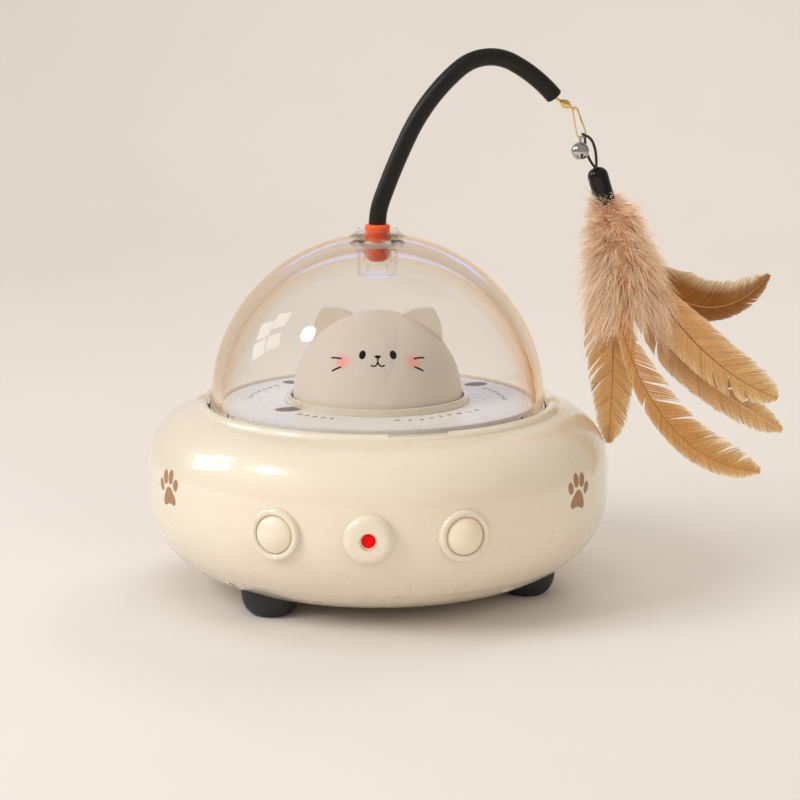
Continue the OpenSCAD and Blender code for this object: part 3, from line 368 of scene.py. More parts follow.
def head_look():
    """Satin taupe with a soft pink glow on each cheek."""
    look = moulded("head_plastic", (0.79, 0.70, 0.61), (0.82, 0.73, 0.64), 0.42, grain=1100, bump=0.03)
    skin = look.shader.inputs["Base Color"].links[0].from_socket
    glow = None
    for side in (-1, 1):
        spot = head_point(FACE_LON + side * CHEEK_LON, CHEEK_LAT) * MM
        near = look.add("ShaderNodeVectorMath", {0: look.place, 1: tuple(spot)}, operation="DISTANCE")
        fade = look.add(
            "ShaderNodeMapRange",
            {"Value": near.outputs["Value"], "From Min": 0.0, "From Max": CHEEK_R * MM, "To Min": 0.85,
             "To Max": 0.0},
            interpolation_type="SMOOTHERSTEP",
        ).outputs["Result"]
        glow = fade if glow is None else look.add(
            "ShaderNodeMath", {0: glow, 1: fade}, operation="MAXIMUM"
        ).outputs["Value"]
    look.link(look.mix(glow, skin, (0.95, 0.36, 0.30)), "Base Color")
    look.set("Emission Color", (1.0, 0.30, 0.24))
    shine = look.add("ShaderNodeMath", {0: glow, 1: 0.12}, operation="MULTIPLY")
    look.link(shine.outputs["Value"], "Emission Strength")
    return look


def clear_look(name, absorb, ior, edge, solid):
    """Clear moulded plastic, warm in its depth and of the edge colour at a glancing angle, a painted tint
    that stands in for warm reflections and for the long path through the wall.

    It casts almost no shadow. solid is the part of it that bends and mirrors light.
    """
    look = Look(name, Roughness=0.01, IOR=ior, Transmission_Weight=1.0)
    # Painted warm tint at a glancing angle, for warm reflections and for the long path through the wall
    facing = look.add("ShaderNodeLayerWeight", {"Blend": 0.5}).outputs["Facing"]
    look.link(look.mix(look.span(facing, 0, 1, at=(0.52, 0.86)), (0.985, 0.99, 1.0), edge), "Base Color")
    look.bump(look.noise(35, 1), 0.02, 0.0004)
    rays = look.add("ShaderNodeLightPath")
    through = look.add("ShaderNodeMath", {0: 1.0, 1: rays.outputs["Is Shadow Ray"]}, operation="SUBTRACT")
    look.link(look.span(through.outputs["Value"], 0.03, solid, at=(0, 1)), "Alpha")
    body = look.add("ShaderNodeVolumeAbsorption", {"Color": (1.0, 0.76, 0.36, 1), "Density": absorb})
    look.tree.links.new(body.outputs["Volume"], look.tree.nodes["Material Output"].inputs["Volume"])
    return look


def plumage(name, sheen):
    """Feather or down: the mesh's own tint with fine streaks and a soft sheen."""
    look = Look(name, Roughness=0.62, Sheen_Weight=sheen, Sheen_Roughness=0.4, Specular_IOR_Level=0.25)
    tint = look.add("ShaderNodeVertexColor", layer_name="tint").outputs["Color"]
    streak = look.span(look.noise(1500, 2), 0.86, 1.1)
    look.link(look.mix(1.0, tint, streak, "MULTIPLY"), "Base Color")
    return look


clear = clear_look("clear_dome", 12.0, 1.33, (1.0, 0.60, 0.24), 1.0)
clear_socket = clear_look("clear_socket", 6.0, 1.2, (1.0, 0.93, 0.84), 0.35)
clear_socket.set("Coat Weight", 1.0)
head_satin = head_look()
feather_look = plumage("feather_barbs", 0.25)
down_look = plumage("down_barbs", 0.35)


def dress(look, *names):
    """The CAD nodes with these names take this material."""
    for name in names:
        data = nodes[name].data
        data.materials.clear()
        data.materials.append(look.material)


dress(cream, "body_shell", "bottom_cover", "collar_ring")
dress(button_cream, "left_button", "right_button")
dress(dish_white, "turntable")
dress(print_sheet, "printed_disc")
dress(foot_rubber, "foot_front_left", "foot_right", "foot_rear")
dress(black_rubber, "wand_sleeve")
dress(orange_silicone, "wand_plug")
dress(cap_black, "lure_cap")
dress(cord_black, "cord_loop")
dress(inner_plastic, "gear_deck", "thrust_washer", "head_carrier")
dress(inner_plastic, "turntable_gear", "idler_gear", "motor_pinion")
dress(black_plastic, "battery_holder", "board_parts", "tact_switches")
dress(cell_wrap, "battery_cell")
dress(board_green, "main_board", "button_boards", "led_board")
dress(led_pink, "cheek_leds")
dress(red_lens, "power_button")
dress(steel, "cover_screws", "deck_screws", "spindle", "spindle_nut", "motor_screws")
dress(steel, "idler_pin", "motor_shaft", "usb_socket", "motor_can")
dress(brass, "wand_core", "swivel_barrel", "swivel_eye", "snap_hook")
dress(bell_chrome, "bell", "bell_ring", "bell_pellet")
dress(clear, "dome")
dress(clear_socket, "wand_socket", "grip_ring")
dress(head_satin, "cat_head")


def smooth_bands():
    """Geometry nodes that join the bands of a turned face and keep its real edges sharp."""
    group = bpy.data.node_groups.new("smooth_bands", "GeometryNodeTree")
    for way in ("INPUT", "OUTPUT"):
        group.interface.new_socket("Geometry", in_out=way, socket_type="NodeSocketGeometry")
    add = group.nodes.new
    start, end = add("NodeGroupInput"), add("NodeGroupOutput")
    merge = add("GeometryNodeMergeByDistance")
    faces, edges = add("GeometryNodeSetShadeSmooth"), add("GeometryNodeSetShadeSmooth")
    angle, low = add("GeometryNodeInputMeshEdgeAngle"), add("ShaderNodeMath")
    merge.inputs["Distance"].default_value = WELD_GAP
    edges.domain = "EDGE"
    low.operation = "LESS_THAN"
    low.inputs[1].default_value = math.radians(SHARP_ANGLE)
    link = group.links.new
    link(start.outputs[0], merge.inputs["Geometry"])
    link(merge.outputs["Geometry"], faces.inputs["Geometry"])
    link(faces.outputs["Geometry"], edges.inputs["Geometry"])
    link(angle.outputs["Unsigned Angle"], low.inputs[0])
    link(low.outputs[0], edges.inputs["Shade Smooth"])
    link(edges.outputs["Geometry"], end.inputs[0])
    return group


bands = smooth_bands()
for name in ("body_shell", "bottom_cover", "left_button", "right_button", "power_button", "foot_front_left",
             "foot_right", "foot_rear", "wand_plug", "lure_cap", "cat_head", "swivel_barrel", "wand_socket"):
    nodes[name].modifiers.new("bands", "NODES").node_group = bands
    even = nodes[name].modifiers.new("even", "WEIGHTED_NORMAL")
    even.keep_sharp = True
    even.weight = 70


# Wand


def wand_stations():
    """Points of the wand's middle line with the heading from upright, in the wand's plane."""
    stations = [(0, SLEEVE_LOW_Z, 0), (0, (SLEEVE_LOW_Z + PLUG_TOP_Z) / 2, 0), (0, PLUG_TOP_Z, 0)]
    u, w, heading = 0.0, PLUG_TOP_Z, 0.0
    for r, turn in WAND_BENDS:
        steps = max(3, round(math.radians(turn) * r / 1.6))
        a = math.radians(heading)
        for k in range(1, steps + 1):
            b = math.radians(heading + turn * k / steps)
            across, up = r * (math.cos(a) - math.cos(b)), r * (math.sin(b) - math.sin(a))
            stations.append((u + across, w + up, math.degrees(b)))
        u, w, heading = stations[-1][0], stations[-1][1], heading + turn
    return stations


def make_wand():
    stations = wand_stations()
    points = [from_wand_plane((u, 0, w)) for u, w, _ in stations]
    u, w, heading = stations[-1]
    ahead = np.array([math.sin(math.radians(heading)), 0, math.cos(math.radians(heading))])
    end = np.array([u, 0, w])
    edge = 0.9
    line = points[:-1]
    radii = [SLEEVE_R] * len(line)
    for k in range(6):
        a = math.pi / 2 * k / 5
        line.append(from_wand_plane(end - edge * (1 - math.sin(a)) * ahead))
        radii.append(SLEEVE_R - edge * (1 - math.cos(a)))
    verts, faces = sweep(line, radii, 32)
    new_piece("wand_sleeve_smooth", verts, faces, black_rubber.material, "wand", ["wand_sleeve"])
    turned = [math.radians(heading - WIRE_TURN * k / 6) for k in range(7)]
    first = turned[0]
    bend = [end + WIRE_BEND_R * np.array([math.cos(a) - math.cos(first), 0, math.sin(first) - math.sin(a)])
            for a in turned]
    onward = np.array([math.sin(turned[-1]), 0, math.cos(turned[-1])])
    wire = [end - d * ahead for d in (4, 2.5, 1)] + bend
    wire += [wire[-1] + d * onward for d in np.linspace(0.4, TIP_WIRE, 5)]
    verts, faces = sweep([from_wand_plane(q) for q in wire], [CORE_R] * len(wire), 16)
    new_piece("tip_wire", verts, faces, brass.material, "wand", ["wand_core"])


def make_cord():
    pivot = np.array([CORD_PIVOT[0], 0, CORD_PIVOT[1]])
    lean, hang, into = math.radians(CORD_LEAN), math.radians(CORD_HANG), math.radians(CAP_LEAN)
    end = pivot + CORD_SPAN * np.array([math.sin(lean), 0, -math.cos(lean)])
    tail = CORD_TAIL * np.array([math.sin(into), 0, -math.cos(into)])

    def leg(n, bow):
        side = np.array([0, n, 0])
        bend = [pivot + side, pivot + side + bow[0], pivot + side + bow[1], end + side]
        return [bezier(bend, t) for t in np.linspace(0, 1, 15)] + [end + side + tail]

    line = leg(-CORD_LOOP_R, CORD_RIGHT)[::-1]
    for k in range(1, 12):
        a = math.pi * k / 12
        line.append(pivot + CORD_LOOP_R * np.array([
            -math.sin(a) * math.sin(hang), -math.cos(a), math.sin(a) * math.cos(hang)]))
    line += leg(CORD_LOOP_R, CORD_LEFT)
    verts, faces = sweep([from_wand_plane(p) for p in line], [CORD_R] * len(line), 12)
    piece = new_piece("cord_loop_smooth", verts, faces, cord_black.material, "lure", ["cord_loop"])
    path = [from_wand_plane(p) * MM for p in line]
    length = sum(np.linalg.norm(b - a) for a, b in zip(path, path[1:]))
    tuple(path[0])


def make_snap():
    """Bent wire of the snap: a narrow bend in the swivel's eye and a wide one below."""
    lean = math.radians(SNAP_LEAN)
    down = np.array([math.sin(lean), 0, -math.cos(lean)])
    side = np.array([math.cos(lean), 0, math.sin(lean)])
    low = np.array([SNAP_LOW[0], 0, SNAP_LOW[1]])
    top = np.array([SNAP_PIVOT[0], 0, SNAP_PIVOT[1]]) + 0.1 * down
    narrow, wide = SNAP_BENDS
    slope = math.degrees(math.asin((wide - narrow) / np.linalg.norm(low - top)))
    line = []
    for middle, r, start, end in ((top, narrow, slope, 180 - slope), (low, wide, 180 - slope, 360 + slope)):
        for a in np.radians(np.linspace(start, end, 25)):
            line.append(middle + r * (math.cos(a) * side - math.sin(a) * down))
    line.append(line[0])
    verts, faces = sweep([from_wand_plane(p) for p in line], [SNAP_WIRE_R] * len(line), 12)
    new_piece("snap_wire", verts, faces, brass.material, "snap", ["snap_hook"])


def make_crowns():
    """Domed crowns on the two side buttons."""
    rise = CROWN_TOP - CROWN_EDGE - 0.5
    ball = (CROWN_R**2 + rise**2) / (2 * rise)
    profile = [(CROWN_R, CROWN_EDGE - 0.6)] + [
        (CROWN_R - 0.5 + 0.5 * math.cos(a), CROWN_EDGE + 0.5 * math.sin(a)) for a in np.linspace(0, 0.9, 6)]
    widest = profile[-1][0]
    for share in np.linspace(0.97, 0.04, 16):
        r = widest * share
        profile.append((r, CROWN_TOP - ball + math.sqrt(ball**2 - r**2)))
    sides = 64
    for az, body in ((-BUTTON_AZ, "left_key"), (BUTTON_AZ, "right_key")):
        a = math.radians(az)
        out, along = np.array([math.sin(a), -math.cos(a), 0]), np.array([math.cos(a), math.sin(a), 0])
        up = np.array([0, 0, 1.0])
        ring = [2 * math.pi * k / sides for k in range(sides)]
        verts = [np.array([0, 0, BUTTON_Z]) + d * out + r * (math.cos(b) * along + math.sin(b) * up)
                 for r, d in profile for b in ring]
        new_piece(f"{body}_crown", verts, ring_faces(len(profile), sides), button_cream.material, body)


# Markings


def flat_patch(outline, place, name, material, body, lift=0.06):
    """Thin raised print: a fan of rings inside an outline, set on a surface by place(x, y, lift)."""
    outline = np.asarray(outline, float)
    middle = outline.mean(0)
    n = len(outline)
    verts = [place(*p, 0.0) for p in outline]
    for share in (0.985, 0.75, 0.5, 0.25):
        verts += [place(*(middle + share * (p - middle)), lift) for p in outline]
    verts.append(place(*middle, lift))
    faces = ring_faces(5, n, closed_ends=False)
    last = 4 * n
    faces += [(last + j, last + (j + 1) % n, 5 * n) for j in range(n)]
    return new_piece(name, verts, faces, material, body)


def ellipse(x, y, a, b, turn=0.0, n=28):
    t = math.radians(turn)
    ring = [2 * math.pi * k / n for k in range(n)]
    return [(x + a * math.cos(s) * math.cos(t) - b * math.sin(s) * math.sin(t),
             y + a * math.cos(s) * math.sin(t) + b * math.sin(s) * math.cos(t)) for s in ring]


def on_face(x, y, lift):
    """Face marks are placed by millimetres right of and above the point between the eyes."""
    return head_point(FACE_LON + math.degrees(x / (HEAD_R * math.cos(math.radians(FACE_LAT)))),
                      FACE_LAT + math.degrees(y / HEAD_R), lift)


def ribbon_patch(points, width, place, name, material, body, lift=0.06):
    """Thin raised line: a narrow flat strip along points with round ends."""
    p = [np.asarray(q, float) for q in points]
    p = [p[0], 0.9 * p[0] + 0.1 * p[1], *p[1:-1], 0.9 * p[-1] + 0.1 * p[-2], p[-1]]
    verts, n = [], len(p)
    for i, q in enumerate(p):
        d = unit(p[min(i + 1, n - 1)] - p[max(i - 1, 0)])
        s = np.array([-d[1], d[0]])
        half = width / 2 * (0.55 if i in (0, n - 1) else 1.0)
        verts += [place(*(q + s * half), 0.0), place(*(q + s * half * 0.8), lift),
                  place(*(q - s * half * 0.8), lift), place(*(q - s * half), 0.0)]
    faces = []
    for i in range(n - 1):
        for j in range(3):
            faces.append((4 * i + j, 4 * i + j + 1, 4 * i + j + 5, 4 * i + j + 4))
    faces += [(3, 2, 1, 0), tuple(4 * (n - 1) + j for j in range(4))]
    return new_piece(name, verts, faces, material, body)


def make_face():
    ink = ink_black.material
    for side, tag in ((-1, "left"), (1, "right")):
        flat_patch(ellipse(side * 6.45, 0, 1.4, 2.05), on_face, f"eye_{tag}", ink, "base", 0.12)
        ribbon_patch([(side * x, y) for x, y in ((15.0, -2.4), (17.6, -2.25), (20.2, -2.5))], 0.78, on_face,
                     f"whisker_upper_{tag}", ink, "base")
        ribbon_patch([(side * x, y) for x, y in ((14.4, -6.0), (16.2, -7.0), (17.9, -8.2))], 0.78, on_face,
                     f"whisker_lower_{tag}", ink, "base")
        curl = ((0.05, -3.3), (0.25, -4.0), (0.75, -4.75), (1.45, -5.1), (2.15, -4.95), (2.65, -4.5))
        ribbon_patch([(side * x, y) for x, y in curl], 0.66, on_face, f"mouth_{tag}", ink, "base")
    nose = [(-1.35, -0.55), (-0.75, -0.2), (0, -0.1), (0.75, -0.2), (1.35, -0.55),
            (1.1, -1.05), (0.5, -1.55), (0, -1.75), (-0.5, -1.55), (-1.1, -1.05)]
    flat_patch(nose, on_face, "nose", ink, "base", 0.12)
    ribbon_patch([(0, -1.6), (0, -2.6), (0, -3.6)], 0.6, on_face, "mouth_line", ink, "base")


def on_side(az):
    """Placing function for prints on the side, centred at an azimuth and a height along the wall."""
    def place(x, y, lift):
        height = PAW_Z + y
        if height <= BAND_TOP_Z:
            r, z = BODY_R + lift, height
        else:
            a = (height - BAND_TOP_Z) / SHOULDER_R
            r = BODY_R - SHOULDER_R + (SHOULDER_R + lift) * math.cos(a)
            z = BAND_TOP_Z + (SHOULDER_R + lift) * math.sin(a)
        turn = math.radians(az) + x / BODY_R
        return np.array([r * math.sin(turn), -r * math.cos(turn), z])
    return place


def make_paws():
    pad = [(0, 0.3), (1.9, -0.1), (3.5, -2.0), (5.2, -4.4), (5.7, -6.3), (4.6, -7.8), (2.5, -7.4), (0, -6.6),
           (-2.5, -7.4), (-4.6, -7.8), (-5.7, -6.3), (-5.2, -4.4), (-3.5, -2.0), (-1.9, -0.1)]
    toes = [(-6.4, 1.0, 1.9, 2.7, 22), (-2.4, 4.3, 2.05, 3.1, 8),
            (2.4, 4.3, 2.05, 3.1, -8), (6.4, 1.0, 1.9, 2.7, -22)]
    smooth_pad = []
    for i in range(len(pad)):
        a, b, c = (np.asarray(pad[(i + k) % len(pad)], float) for k in (0, 1, 2))
        smooth_pad += [tuple((a + b) / 2 * 0.5 + b * 0.5), tuple(b * 0.5 + (b + c) / 2 * 0.5)]

    def turned(points, tilt):
        c, s = math.cos(math.radians(tilt)), math.sin(math.radians(tilt))
        return [(x * c - y * s, x * s + y * c) for x, y in points]

    ink = ink_brown.material
    for k, (az, tilt) in enumerate(((-59, 8), (59, -8), (-104, 8), (104, -8), (-149, 8), (149, -8))):
        place = on_side(az)
        flat_patch(turned(smooth_pad, tilt), place, f"paw_{k}_pad", ink, "base", 0.05)
        for j, toe in enumerate(toes):
            flat_patch(turned(ellipse(*toe), tilt), place, f"paw_{k}_toe_{j}", ink, "base", 0.05)


def on_dish(az, r):
    """Placing function for prints on the dish, x along the circle and y outwards."""
    def place(x, y, lift):
        turn = math.radians(az) + x / r
        return np.array([(r + y) * math.sin(turn), -(r + y) * math.cos(turn), PRINT_Z + lift])
    return place


def make_dish_print():
    """Generic ovals, dots and bars round the dish."""
    def mark(name, az, r, a, b, ink):
        flat_patch(ellipse(0, 0, a, b), on_dish(az, r), name, ink.material, "turntable", 0.04)

    ovals = ((-57, 43.5, 4.6, 6.2), (132, 58, 4.4, 6.0), (-135, 57, 3.6, 4.8), (178, 55, 3.6, 4.8))
    for k, (az, r, a, b) in enumerate(ovals):
        mark(f"dish_oval_{k}", az, r, a, b, ink_grey)
    for k in range(5):
        mark(f"dish_dot_{k}", -42 + 5.0 * k, 46.5, 0.85, 1.5, ink_brown)
    for k in range(9):
        a, b = ((1.5, 0.9), (0.55, 1.7), (0.9, 1.3))[k % 3]
        mark(f"dish_front_{k}", 12 + 6.2 * k, 47 + 1.4 * math.sin(k), a, b, ink_brown if k % 2 else ink_grey)
    for k in range(7):
        a, b = ((0.6, 1.5), (1.3, 0.8))[k % 2]
        mark(f"dish_right_{k}", 92 + 4.8 * k, 55, a, b, ink_grey)
        mark(f"dish_back_{k}", -124 + 5.2 * k, 56, a, b, ink_grey)


# Feathers and down


def vane(t, w, grow, blunt):
    """Half width of a vane at a share of the shaft."""
    if t < QUILL_END:
        return QUILL_W
    x = min(1.0, (t - QUILL_END) / (1 - QUILL_END))
    return QUILL_W + w * min(1.0, x / 0.4) ** 0.6 * (1 + grow * (x - 0.5)) * math.sqrt(1 - x**blunt)


def feather_frame(points, roll, t):
    """Point, direction, vane side and face normal at t, in the lure's own frame."""
    q = bezier(points, t)
    d = unit(bezier(points, t + 0.01) - bezier(points, t - 0.01))
    y = np.array([0, 1.0, 0])
    flat = unit(np.cross(d, y))
    r = math.radians(roll)
    return q, d, math.cos(r) * flat + math.sin(r) * y, math.cos(r) * y - math.sin(r) * flat


class Ribbons:
    """Many narrow strips gathered into one mesh, with a tint at each point."""

    def __init__(self):
        self.verts, self.faces, self.tints = [], [], []

    def add(self, line, across, widths, tints):
        start = len(self.verts)
        for p, a, w, c in zip(line, across, widths, tints):
            self.verts += [p - a * w / 2, p + a * w / 2]
            self.tints += [c, c]
        for i in range(len(line) - 1):
            k = start + 2 * i
            self.faces.append((k, k + 1, k + 3, k + 2))

    def add_mesh(self, verts, faces, tint):
        start = len(self.verts)
        self.verts += list(verts)
        self.tints += [tint] * len(verts)
        self.faces += [tuple(start + i for i in f) for f in faces]

    def piece(self, name, material, body, stands_for):
        verts = [from_wand_plane(CAP_MOUTH + v) for v in self.verts]
        return new_piece(name, verts, self.faces, material, body, stands_for, tints=np.array(self.tints))


# Colours of each feather near its root, near its tip and on its shaft
FEATHER_TONES = [
    ((0.42, 0.175, 0.040), (0.26, 0.080, 0.008), (0.60, 0.36, 0.12)),
    ((0.74, 0.39, 0.170), (0.72, 0.41, 0.150), (0.26, 0.10, 0.04)),
    ((0.74, 0.42, 0.230), (0.68, 0.38, 0.140), (0.90, 0.74, 0.46)),
    ((0.66, 0.32, 0.125), (0.64, 0.32, 0.090), (0.44, 0.18, 0.05)),
    ((0.80, 0.46, 0.200), (0.72, 0.40, 0.150), (0.40, 0.17, 0.055)),
]
STRAW = np.array([0.93, 0.78, 0.50])
DUSK = np.array([0.26, 0.10, 0.022])
# Down colours; the first is painted shade for the core and for the strands' roots deep in the plume
DOWN_SHADE_TONE = np.array([0.62, 0.33, 0.155])
DOWN_MID = np.array([0.92, 0.57, 0.34])
DOWN_PALE = np.array([0.98, 0.80, 0.60])


def slant(at, length, *shape):
    """How far on along the shaft a barb ends, as a share of its length."""
    return min(1.15 * vane(min(1.0, at + 0.06), *shape) / length, 0.97 * (1 - at))


def barb_tints(index, side, t, span, shade, streak):
    """Colours along a barb: paler to the edge and to the tip, and a few barbs dark."""
    root, tip, _ = (np.array(c) for c in FEATHER_TONES[index])
    tints = []
    for x in span:
        tone = root * (1 - t) + tip * t
        edge = max(0.0, x - 0.45) / 0.55
        near_tip = 0.6 * max(0.0, t - 0.7) / 0.3 * x
        pale = min(0.95, edge * (0.25 + 0.6 * streak) * (0.3 + 0.9 * t) + near_tip)
        if index == 0:
            pale = min(0.9, pale + 0.5 * edge) if side > 0 else 0.3 * pale
        tone = tone * (1 - pale) + STRAW * pale
        if streak < 0.15 and t > 0.62:
            tone = tone * (1 - 0.5 * x) + DUSK * 0.5 * x
        tints.append(tone * shade)
    return tints


def make_feather(index, points, widths, grows, blunt, roll):
    """Shaft with a vane of fine barbs on each side, parted here and there and frayed at the edge."""
    rng = random.Random(40 + index)
    strips = Ribbons()
    steps = 48
    line = [bezier(points, BARB_END * k / steps) for k in range(steps + 1)]
    verts, faces = sweep(line, [0.5 - 0.4 * k / steps for k in range(steps + 1)], 7)
    strips.add_mesh(verts, faces, np.array(FEATHER_TONES[index][2]))
    length = sum(np.linalg.norm(bezier(points, (k + 1) / 60) - bezier(points, k / 60)) for k in range(60))
    joints = len(BARB_WIDTHS)
    span = np.linspace(0, 1, joints)
    for side, width, grow in ((-1, widths[0], grows[0]), (1, widths[1], grows[1])):
        shape = (width, grow, blunt)
        parted = PARTED.get((index, side), USUALLY_PARTED)
        edges = [0.18]
        while edges[-1] < 1.0:
            edges.append(edges[-1] + rng.uniform(0.03, 0.10))
        gape = [rng.uniform(0.15, 0.6) if rng.random() < parted and e < 0.86 else 0.02 for e in edges]
        heave = [rng.uniform(-0.06, 0.06) for _ in edges]
        wave = rng.uniform(0, 6)
        for k in range(BARBS):
            t = BARB_START + (BARB_END - BARB_START) * (k + rng.uniform(-0.4, 0.4)) / (BARBS - 1)
            t = min(max(t, BARB_START), BARB_END)
            clump = max(i for i, e in enumerate(edges) if e <= t)
            middle = (edges[clump] + edges[min(clump + 1, len(edges) - 1)]) / 2
            ahead = t + slant(t, length, *shape)
            ahead += (middle + slant(middle, length, *shape) - ahead) * gape[clump]
            taper = math.sqrt(1 - 0.96 * max(0.0, min(1.0, ahead) / 0.1 - 9) ** 2)
            if rng.random() > 0.08:
                fray = rng.uniform(0.95 - 0.3 * max(0.0, t - 0.5), 1.03)
            else:
                fray = rng.uniform(0.75, 0.95)
            reach = vane(min(1.0, ahead), *shape) * taper * fray
            ahead = t + (ahead - t) * fray
            jitter = rng.uniform(-0.06, 0.06)
            bars, faced = [], []
            for x in span:
                here = t + (ahead - t) * x**0.9
                q, d, across, face = feather_frame(points, roll, min(here, 1.0))
                q = q + d * length * max(0.0, here - 1.0)
                lateral = reach * (1 - (1 - x) ** 1.45)
                sag = width * 0.10 * (lateral / width) ** 2 + heave[clump] * lateral
                bars.append(q + across * side * lateral - face * (sag + jitter))
                faced.append(face)
            along = []
            for i, face in enumerate(faced):
                run = unit(bars[min(i + 1, joints - 1)] - bars[max(i - 1, 0)])
                flat = unit(np.cross(face, run))
                along.append(unit(flat + 0.15 * face))
            band = 0.5 + 0.5 * math.sin(70 * t + wave) * math.sin(23 * t + side)
            shade = rng.uniform(0.84, 1.10) * (0.95 + 0.08 * band)
            tints = barb_tints(index, side, t, span, shade, rng.random())
            thin = 0.45 if index == 3 and side > 0 and 0.36 < t < 0.58 else 1.0
            strips.add(bars, along, [thin * w for w in BARB_WIDTHS], tints)
    strips.piece(f"feather_{index + 1}_barbs", feather_look.material, "lure", [f"feather_{index + 1}"])


def plume_section(h):
    """Middle, half width and half depth of the down at a height from the cap's mouth."""
    heights = [-p[0] for p in PLUME]
    return [float(np.interp(-h, heights, [p[k] for p in PLUME])) for k in (1, 2, 3)]


def down_core():
    """Closed lumpy core that fills the down, as points and faces."""
    points, sides, tall = [], 28, 24
    for i, h in enumerate(np.linspace(1.0, -47, tall)):
        mid, wide, deep = plume_section(h)
        share = 0.5 if i else 0.3
        for j in range(sides):
            a = 2 * math.pi * j / sides
            r = share * (1 + 0.10 * math.sin(5 * a + 0.9 * i) + 0.08 * math.sin(3 * a - 1.7 * i))
            points.append(np.array([mid + r * wide * math.cos(a), r * deep * math.sin(a), h]))
    return points, ring_faces(tall, sides)


def make_down():
    """Core that fills the down, coloured in painted shade, under many small tufts of fine curved strands that
    darken towards their roots in painted shade.
    """
    rng = random.Random(7)
    strips = Ribbons()
    # The core that fills the down is coloured in painted shade
    strips.add_mesh(*down_core(), DOWN_SHADE_TONE)
    joints = len(STRAND_WIDTHS)
    span = np.linspace(0, 1, joints)
    up = np.array([0, 0, 1.0])
    for tuft in range(TUFTS):
        h = 2.0 - 50 * ((tuft + rng.random()) / TUFTS) ** 0.95
        mid, wide, deep = plume_section(h)
        a = GOLDEN_TURN * tuft + rng.uniform(-0.3, 0.3)
        fall = float(np.interp(-h, (-2, 4, 15, 35, 50), (-0.45, 0.05, 0.4, 0.9, 1.8)))
        fall += rng.uniform(-0.5, 0.5)
        twist = rng.uniform(-0.45, 0.45)
        glow = rng.random()
        for _ in range(STRANDS):
            b = a + rng.gauss(0, 0.16)
            wisp = rng.random() < WISP_SHARE
            inner = rng.uniform(0.30, 0.55)
            outer = rng.uniform(0.80, 1.10) + 0.12 * glow + (0.25 if wisp else 0)
            out = np.array([math.cos(b) * wide, math.sin(b) * deep, 0])
            low = np.array([mid, 0, h + rng.gauss(0, 1.2)]) + inner * out
            reach = (outer - inner) * out
            size = max(4.0, float(np.linalg.norm(reach)))
            round_way = np.cross(unit(out), up)
            curl = rng.gauss(0, 0.22)
            bars = []
            for x in span:
                swing = ((twist + curl) * x * x + 0.10 * math.sin(5 * x + 9 * glow)) * 0.8
                drop = fall * (0.35 * x + 0.65 * x * x) + 0.25 * curl * x * x
                bars.append(low + reach * (1.25 * x - 0.25 * x * x) + size * (round_way * swing - up * drop))
            facing = unit([rng.gauss(0, 1), rng.gauss(-0.6, 1), rng.gauss(0, 0.6)])
            along = []
            for m in range(joints):
                go = unit(bars[min(m + 1, joints - 1)] - bars[max(m - 1, 0)])
                along.append(unit(np.cross(go, facing) + 1e-6))
            shade = rng.uniform(0.9, 1.1) * (0.94 + 0.12 * glow)
            tints = []
            for x in span:
                # Painted shade: each strand is darker towards its root, deep in the plume
                root_shade_share = max(0.0, 1 - 2.2 * x) * 0.45
                tone = DOWN_MID * (1 - x) + DOWN_PALE * x
                tints.append((tone * (1 - root_shade_share) + DOWN_SHADE_TONE * root_shade_share) * shade)
            thin = 0.6 if wisp else 1.0
            strips.add(bars, along, [thin * w for w in STRAND_WIDTHS], tints)
    strips.piece("down_strands", down_look.material, "lure", ["down_plume"])


# Studio


def make_floor():
    """Plain pale floor that curves up into a backdrop."""
    look = Look("floor_paint", Roughness=0.75)
    patches = look.span(look.noise(3), 0, 1)
    look.link(look.mix(patches, (0.77, 0.725, 0.68), (0.80, 0.755, 0.71)), "Base Color")
    near, depth, high, curve, half = -3.0, 1.6, 2.2, 0.7, 3.5
    profile = [(near, 0.0), (depth - curve, 0.0)]
    for a in np.linspace(0.08, math.pi / 2, 20):
        profile.append((depth - curve + curve * math.sin(a), curve - curve * math.cos(a)))
    profile.append((depth, high))
    mesh = bpy.data.meshes.new("floor")
    verts = [(x, y, z) for y, z in profile for x in (-half, half)]
    faces = [(2 * i, 2 * i + 1, 2 * i + 3, 2 * i + 2) for i in range(len(profile) - 1)]
    mesh.from_pydata(verts, [], faces)
    mesh.materials.append(look.material)
    mesh.polygons.foreach_set("use_smooth", [True] * len(mesh.polygons))
    floor = bpy.data.objects.new("floor", mesh)
    bpy.context.scene.collection.objects.link(floor)


def make_world():
    world = bpy.data.worlds.new("studio_world")
    bpy.context.scene.world = world
    world.use_nodes = True
    sky = world.node_tree.nodes["Background"]
    sky.inputs["Color"].default_value = (1.0, 0.95, 0.89, 1)
    sky.inputs["Strength"].default_value = 0.38


def panel(name, place, aim, size, power, colour, wash=True, seen="", bounces=1024, shape="RECTANGLE", roll=0):
    """Soft flat lamp. It lights matt faces with wash, and shows in the one kind of ray named by seen."""
    lamp = bpy.data.lights.new(name, "AREA")
    lamp.shape = shape
    lamp.size, lamp.size_y = size
    lamp.energy = power
    lamp.color = colour
    lamp.cycles.max_bounces = bounces
    holder = bpy.data.objects.new(name, lamp)
    bpy.context.scene.collection.objects.link(holder)
    holder.location = place
    turn = Euler(looking_back(np.asarray(place, float) - np.asarray(aim, float))).to_matrix()
    holder.rotation_euler = (turn @ Matrix.Rotation(math.radians(roll), 3, "Z")).to_euler()
    holder.visible_camera = False
    holder.visible_glossy = seen == "glossy"
    holder.visible_transmission = seen == "transmission"
    holder.visible_diffuse = wash


def toward(turn, lift):
    """Direction at an azimuth from the front and an elevation, in radians."""
    return np.array([math.sin(turn) * math.cos(lift), -math.cos(turn) * math.cos(lift), math.sin(lift)])


def lamp_place(turn, lift):
    """Place of a small lamp at an azimuth and an elevation in degrees."""
    return HEART + LAMP_AWAY * toward(math.radians(turn), math.radians(lift))


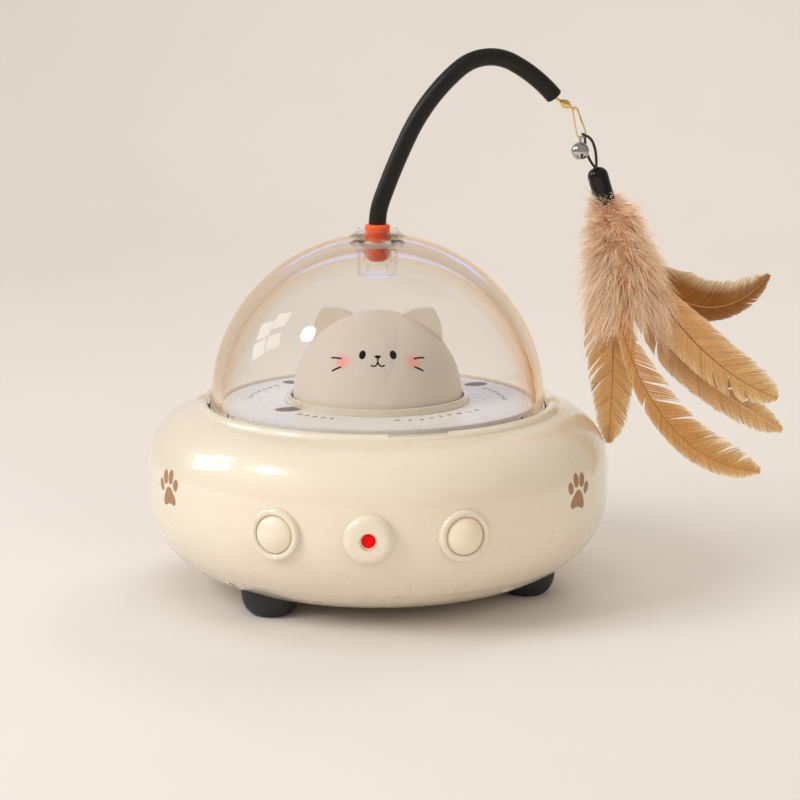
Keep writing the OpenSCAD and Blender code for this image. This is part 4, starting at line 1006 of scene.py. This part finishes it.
def make_lamps():
    panel("key", (-1.25, -0.75, 1.0), HEART, (0.9, 0.9), 18.5, (0.985, 0.985, 1.0))
    panel("front", (0.1, -1.9, 1.1), HEART, (2.0, 1.4), 7.5, (1.0, 0.96, 0.90))
    panel("fill", (1.2, -1.3, 0.8), HEART, (1.4, 1.2), 5, (1.0, 0.88, 0.70))
    panel("back", (0.5, 1.0, 1.1), HEART, (0.9, 0.6), 6, (1.0, 0.95, 0.88))
    panel("top", (-0.2, 0.1, 1.5), HEART, (1.0, 1.0), 4.0, (0.90, 0.94, 1.0))
    panes = ((-99.8, 20.1), (-105.9, 27.4), (-91.0, 28.2), (-99.8, 37.4))
    for number, pane in enumerate(panes):
        panel(f"window_{number}", lamp_place(*pane), HEART, (0.25, 0.2), 0.85, (1.0, 0.98, 0.95),
              wash=False, seen="glossy", bounces=1, roll=45)
    panel("lamp", lamp_place(-66, 43.4), HEART, (0.25, 0.25), 4.0, (1.0, 0.99, 0.97),
          wash=False, seen="glossy", bounces=1, shape="DISK")
    panel("sky", (0, 1.12, 0.315), (0, 0, 0.15), (0.64, 0.10), 0.22, (0.0, 0.22, 1.0),
          wash=False, seen="transmission", bounces=3)


def make_camera():
    camera = bpy.data.cameras.new("camera")
    camera.sensor_width = SENSOR
    camera.lens = FOCAL_PX / PHOTO_PX * SENSOR
    camera.shift_x, camera.shift_y = (px / PHOTO_PX for px in SHIFT_PX)
    camera.clip_end = 20
    holder = bpy.data.objects.new("camera", camera)
    bpy.context.scene.collection.objects.link(holder)
    away = toward(CAMERA_AZ, CAMERA_PITCH)
    holder.location = CAMERA_AIM + CAMERA_AWAY * away
    holder.rotation_euler = looking_back(away)
    bpy.context.scene.camera = holder


bpy.context.scene.view_settings.view_transform = "Standard"
make_floor()
make_world()
make_lamps()
make_camera()
make_wand()
make_cord()
make_snap()
make_crowns()
make_face()
make_paws()
make_dish_print()
for number, feather in enumerate(FEATHERS):
    make_feather(number, *feather)
make_down()

bpy.context.view_layer.update()
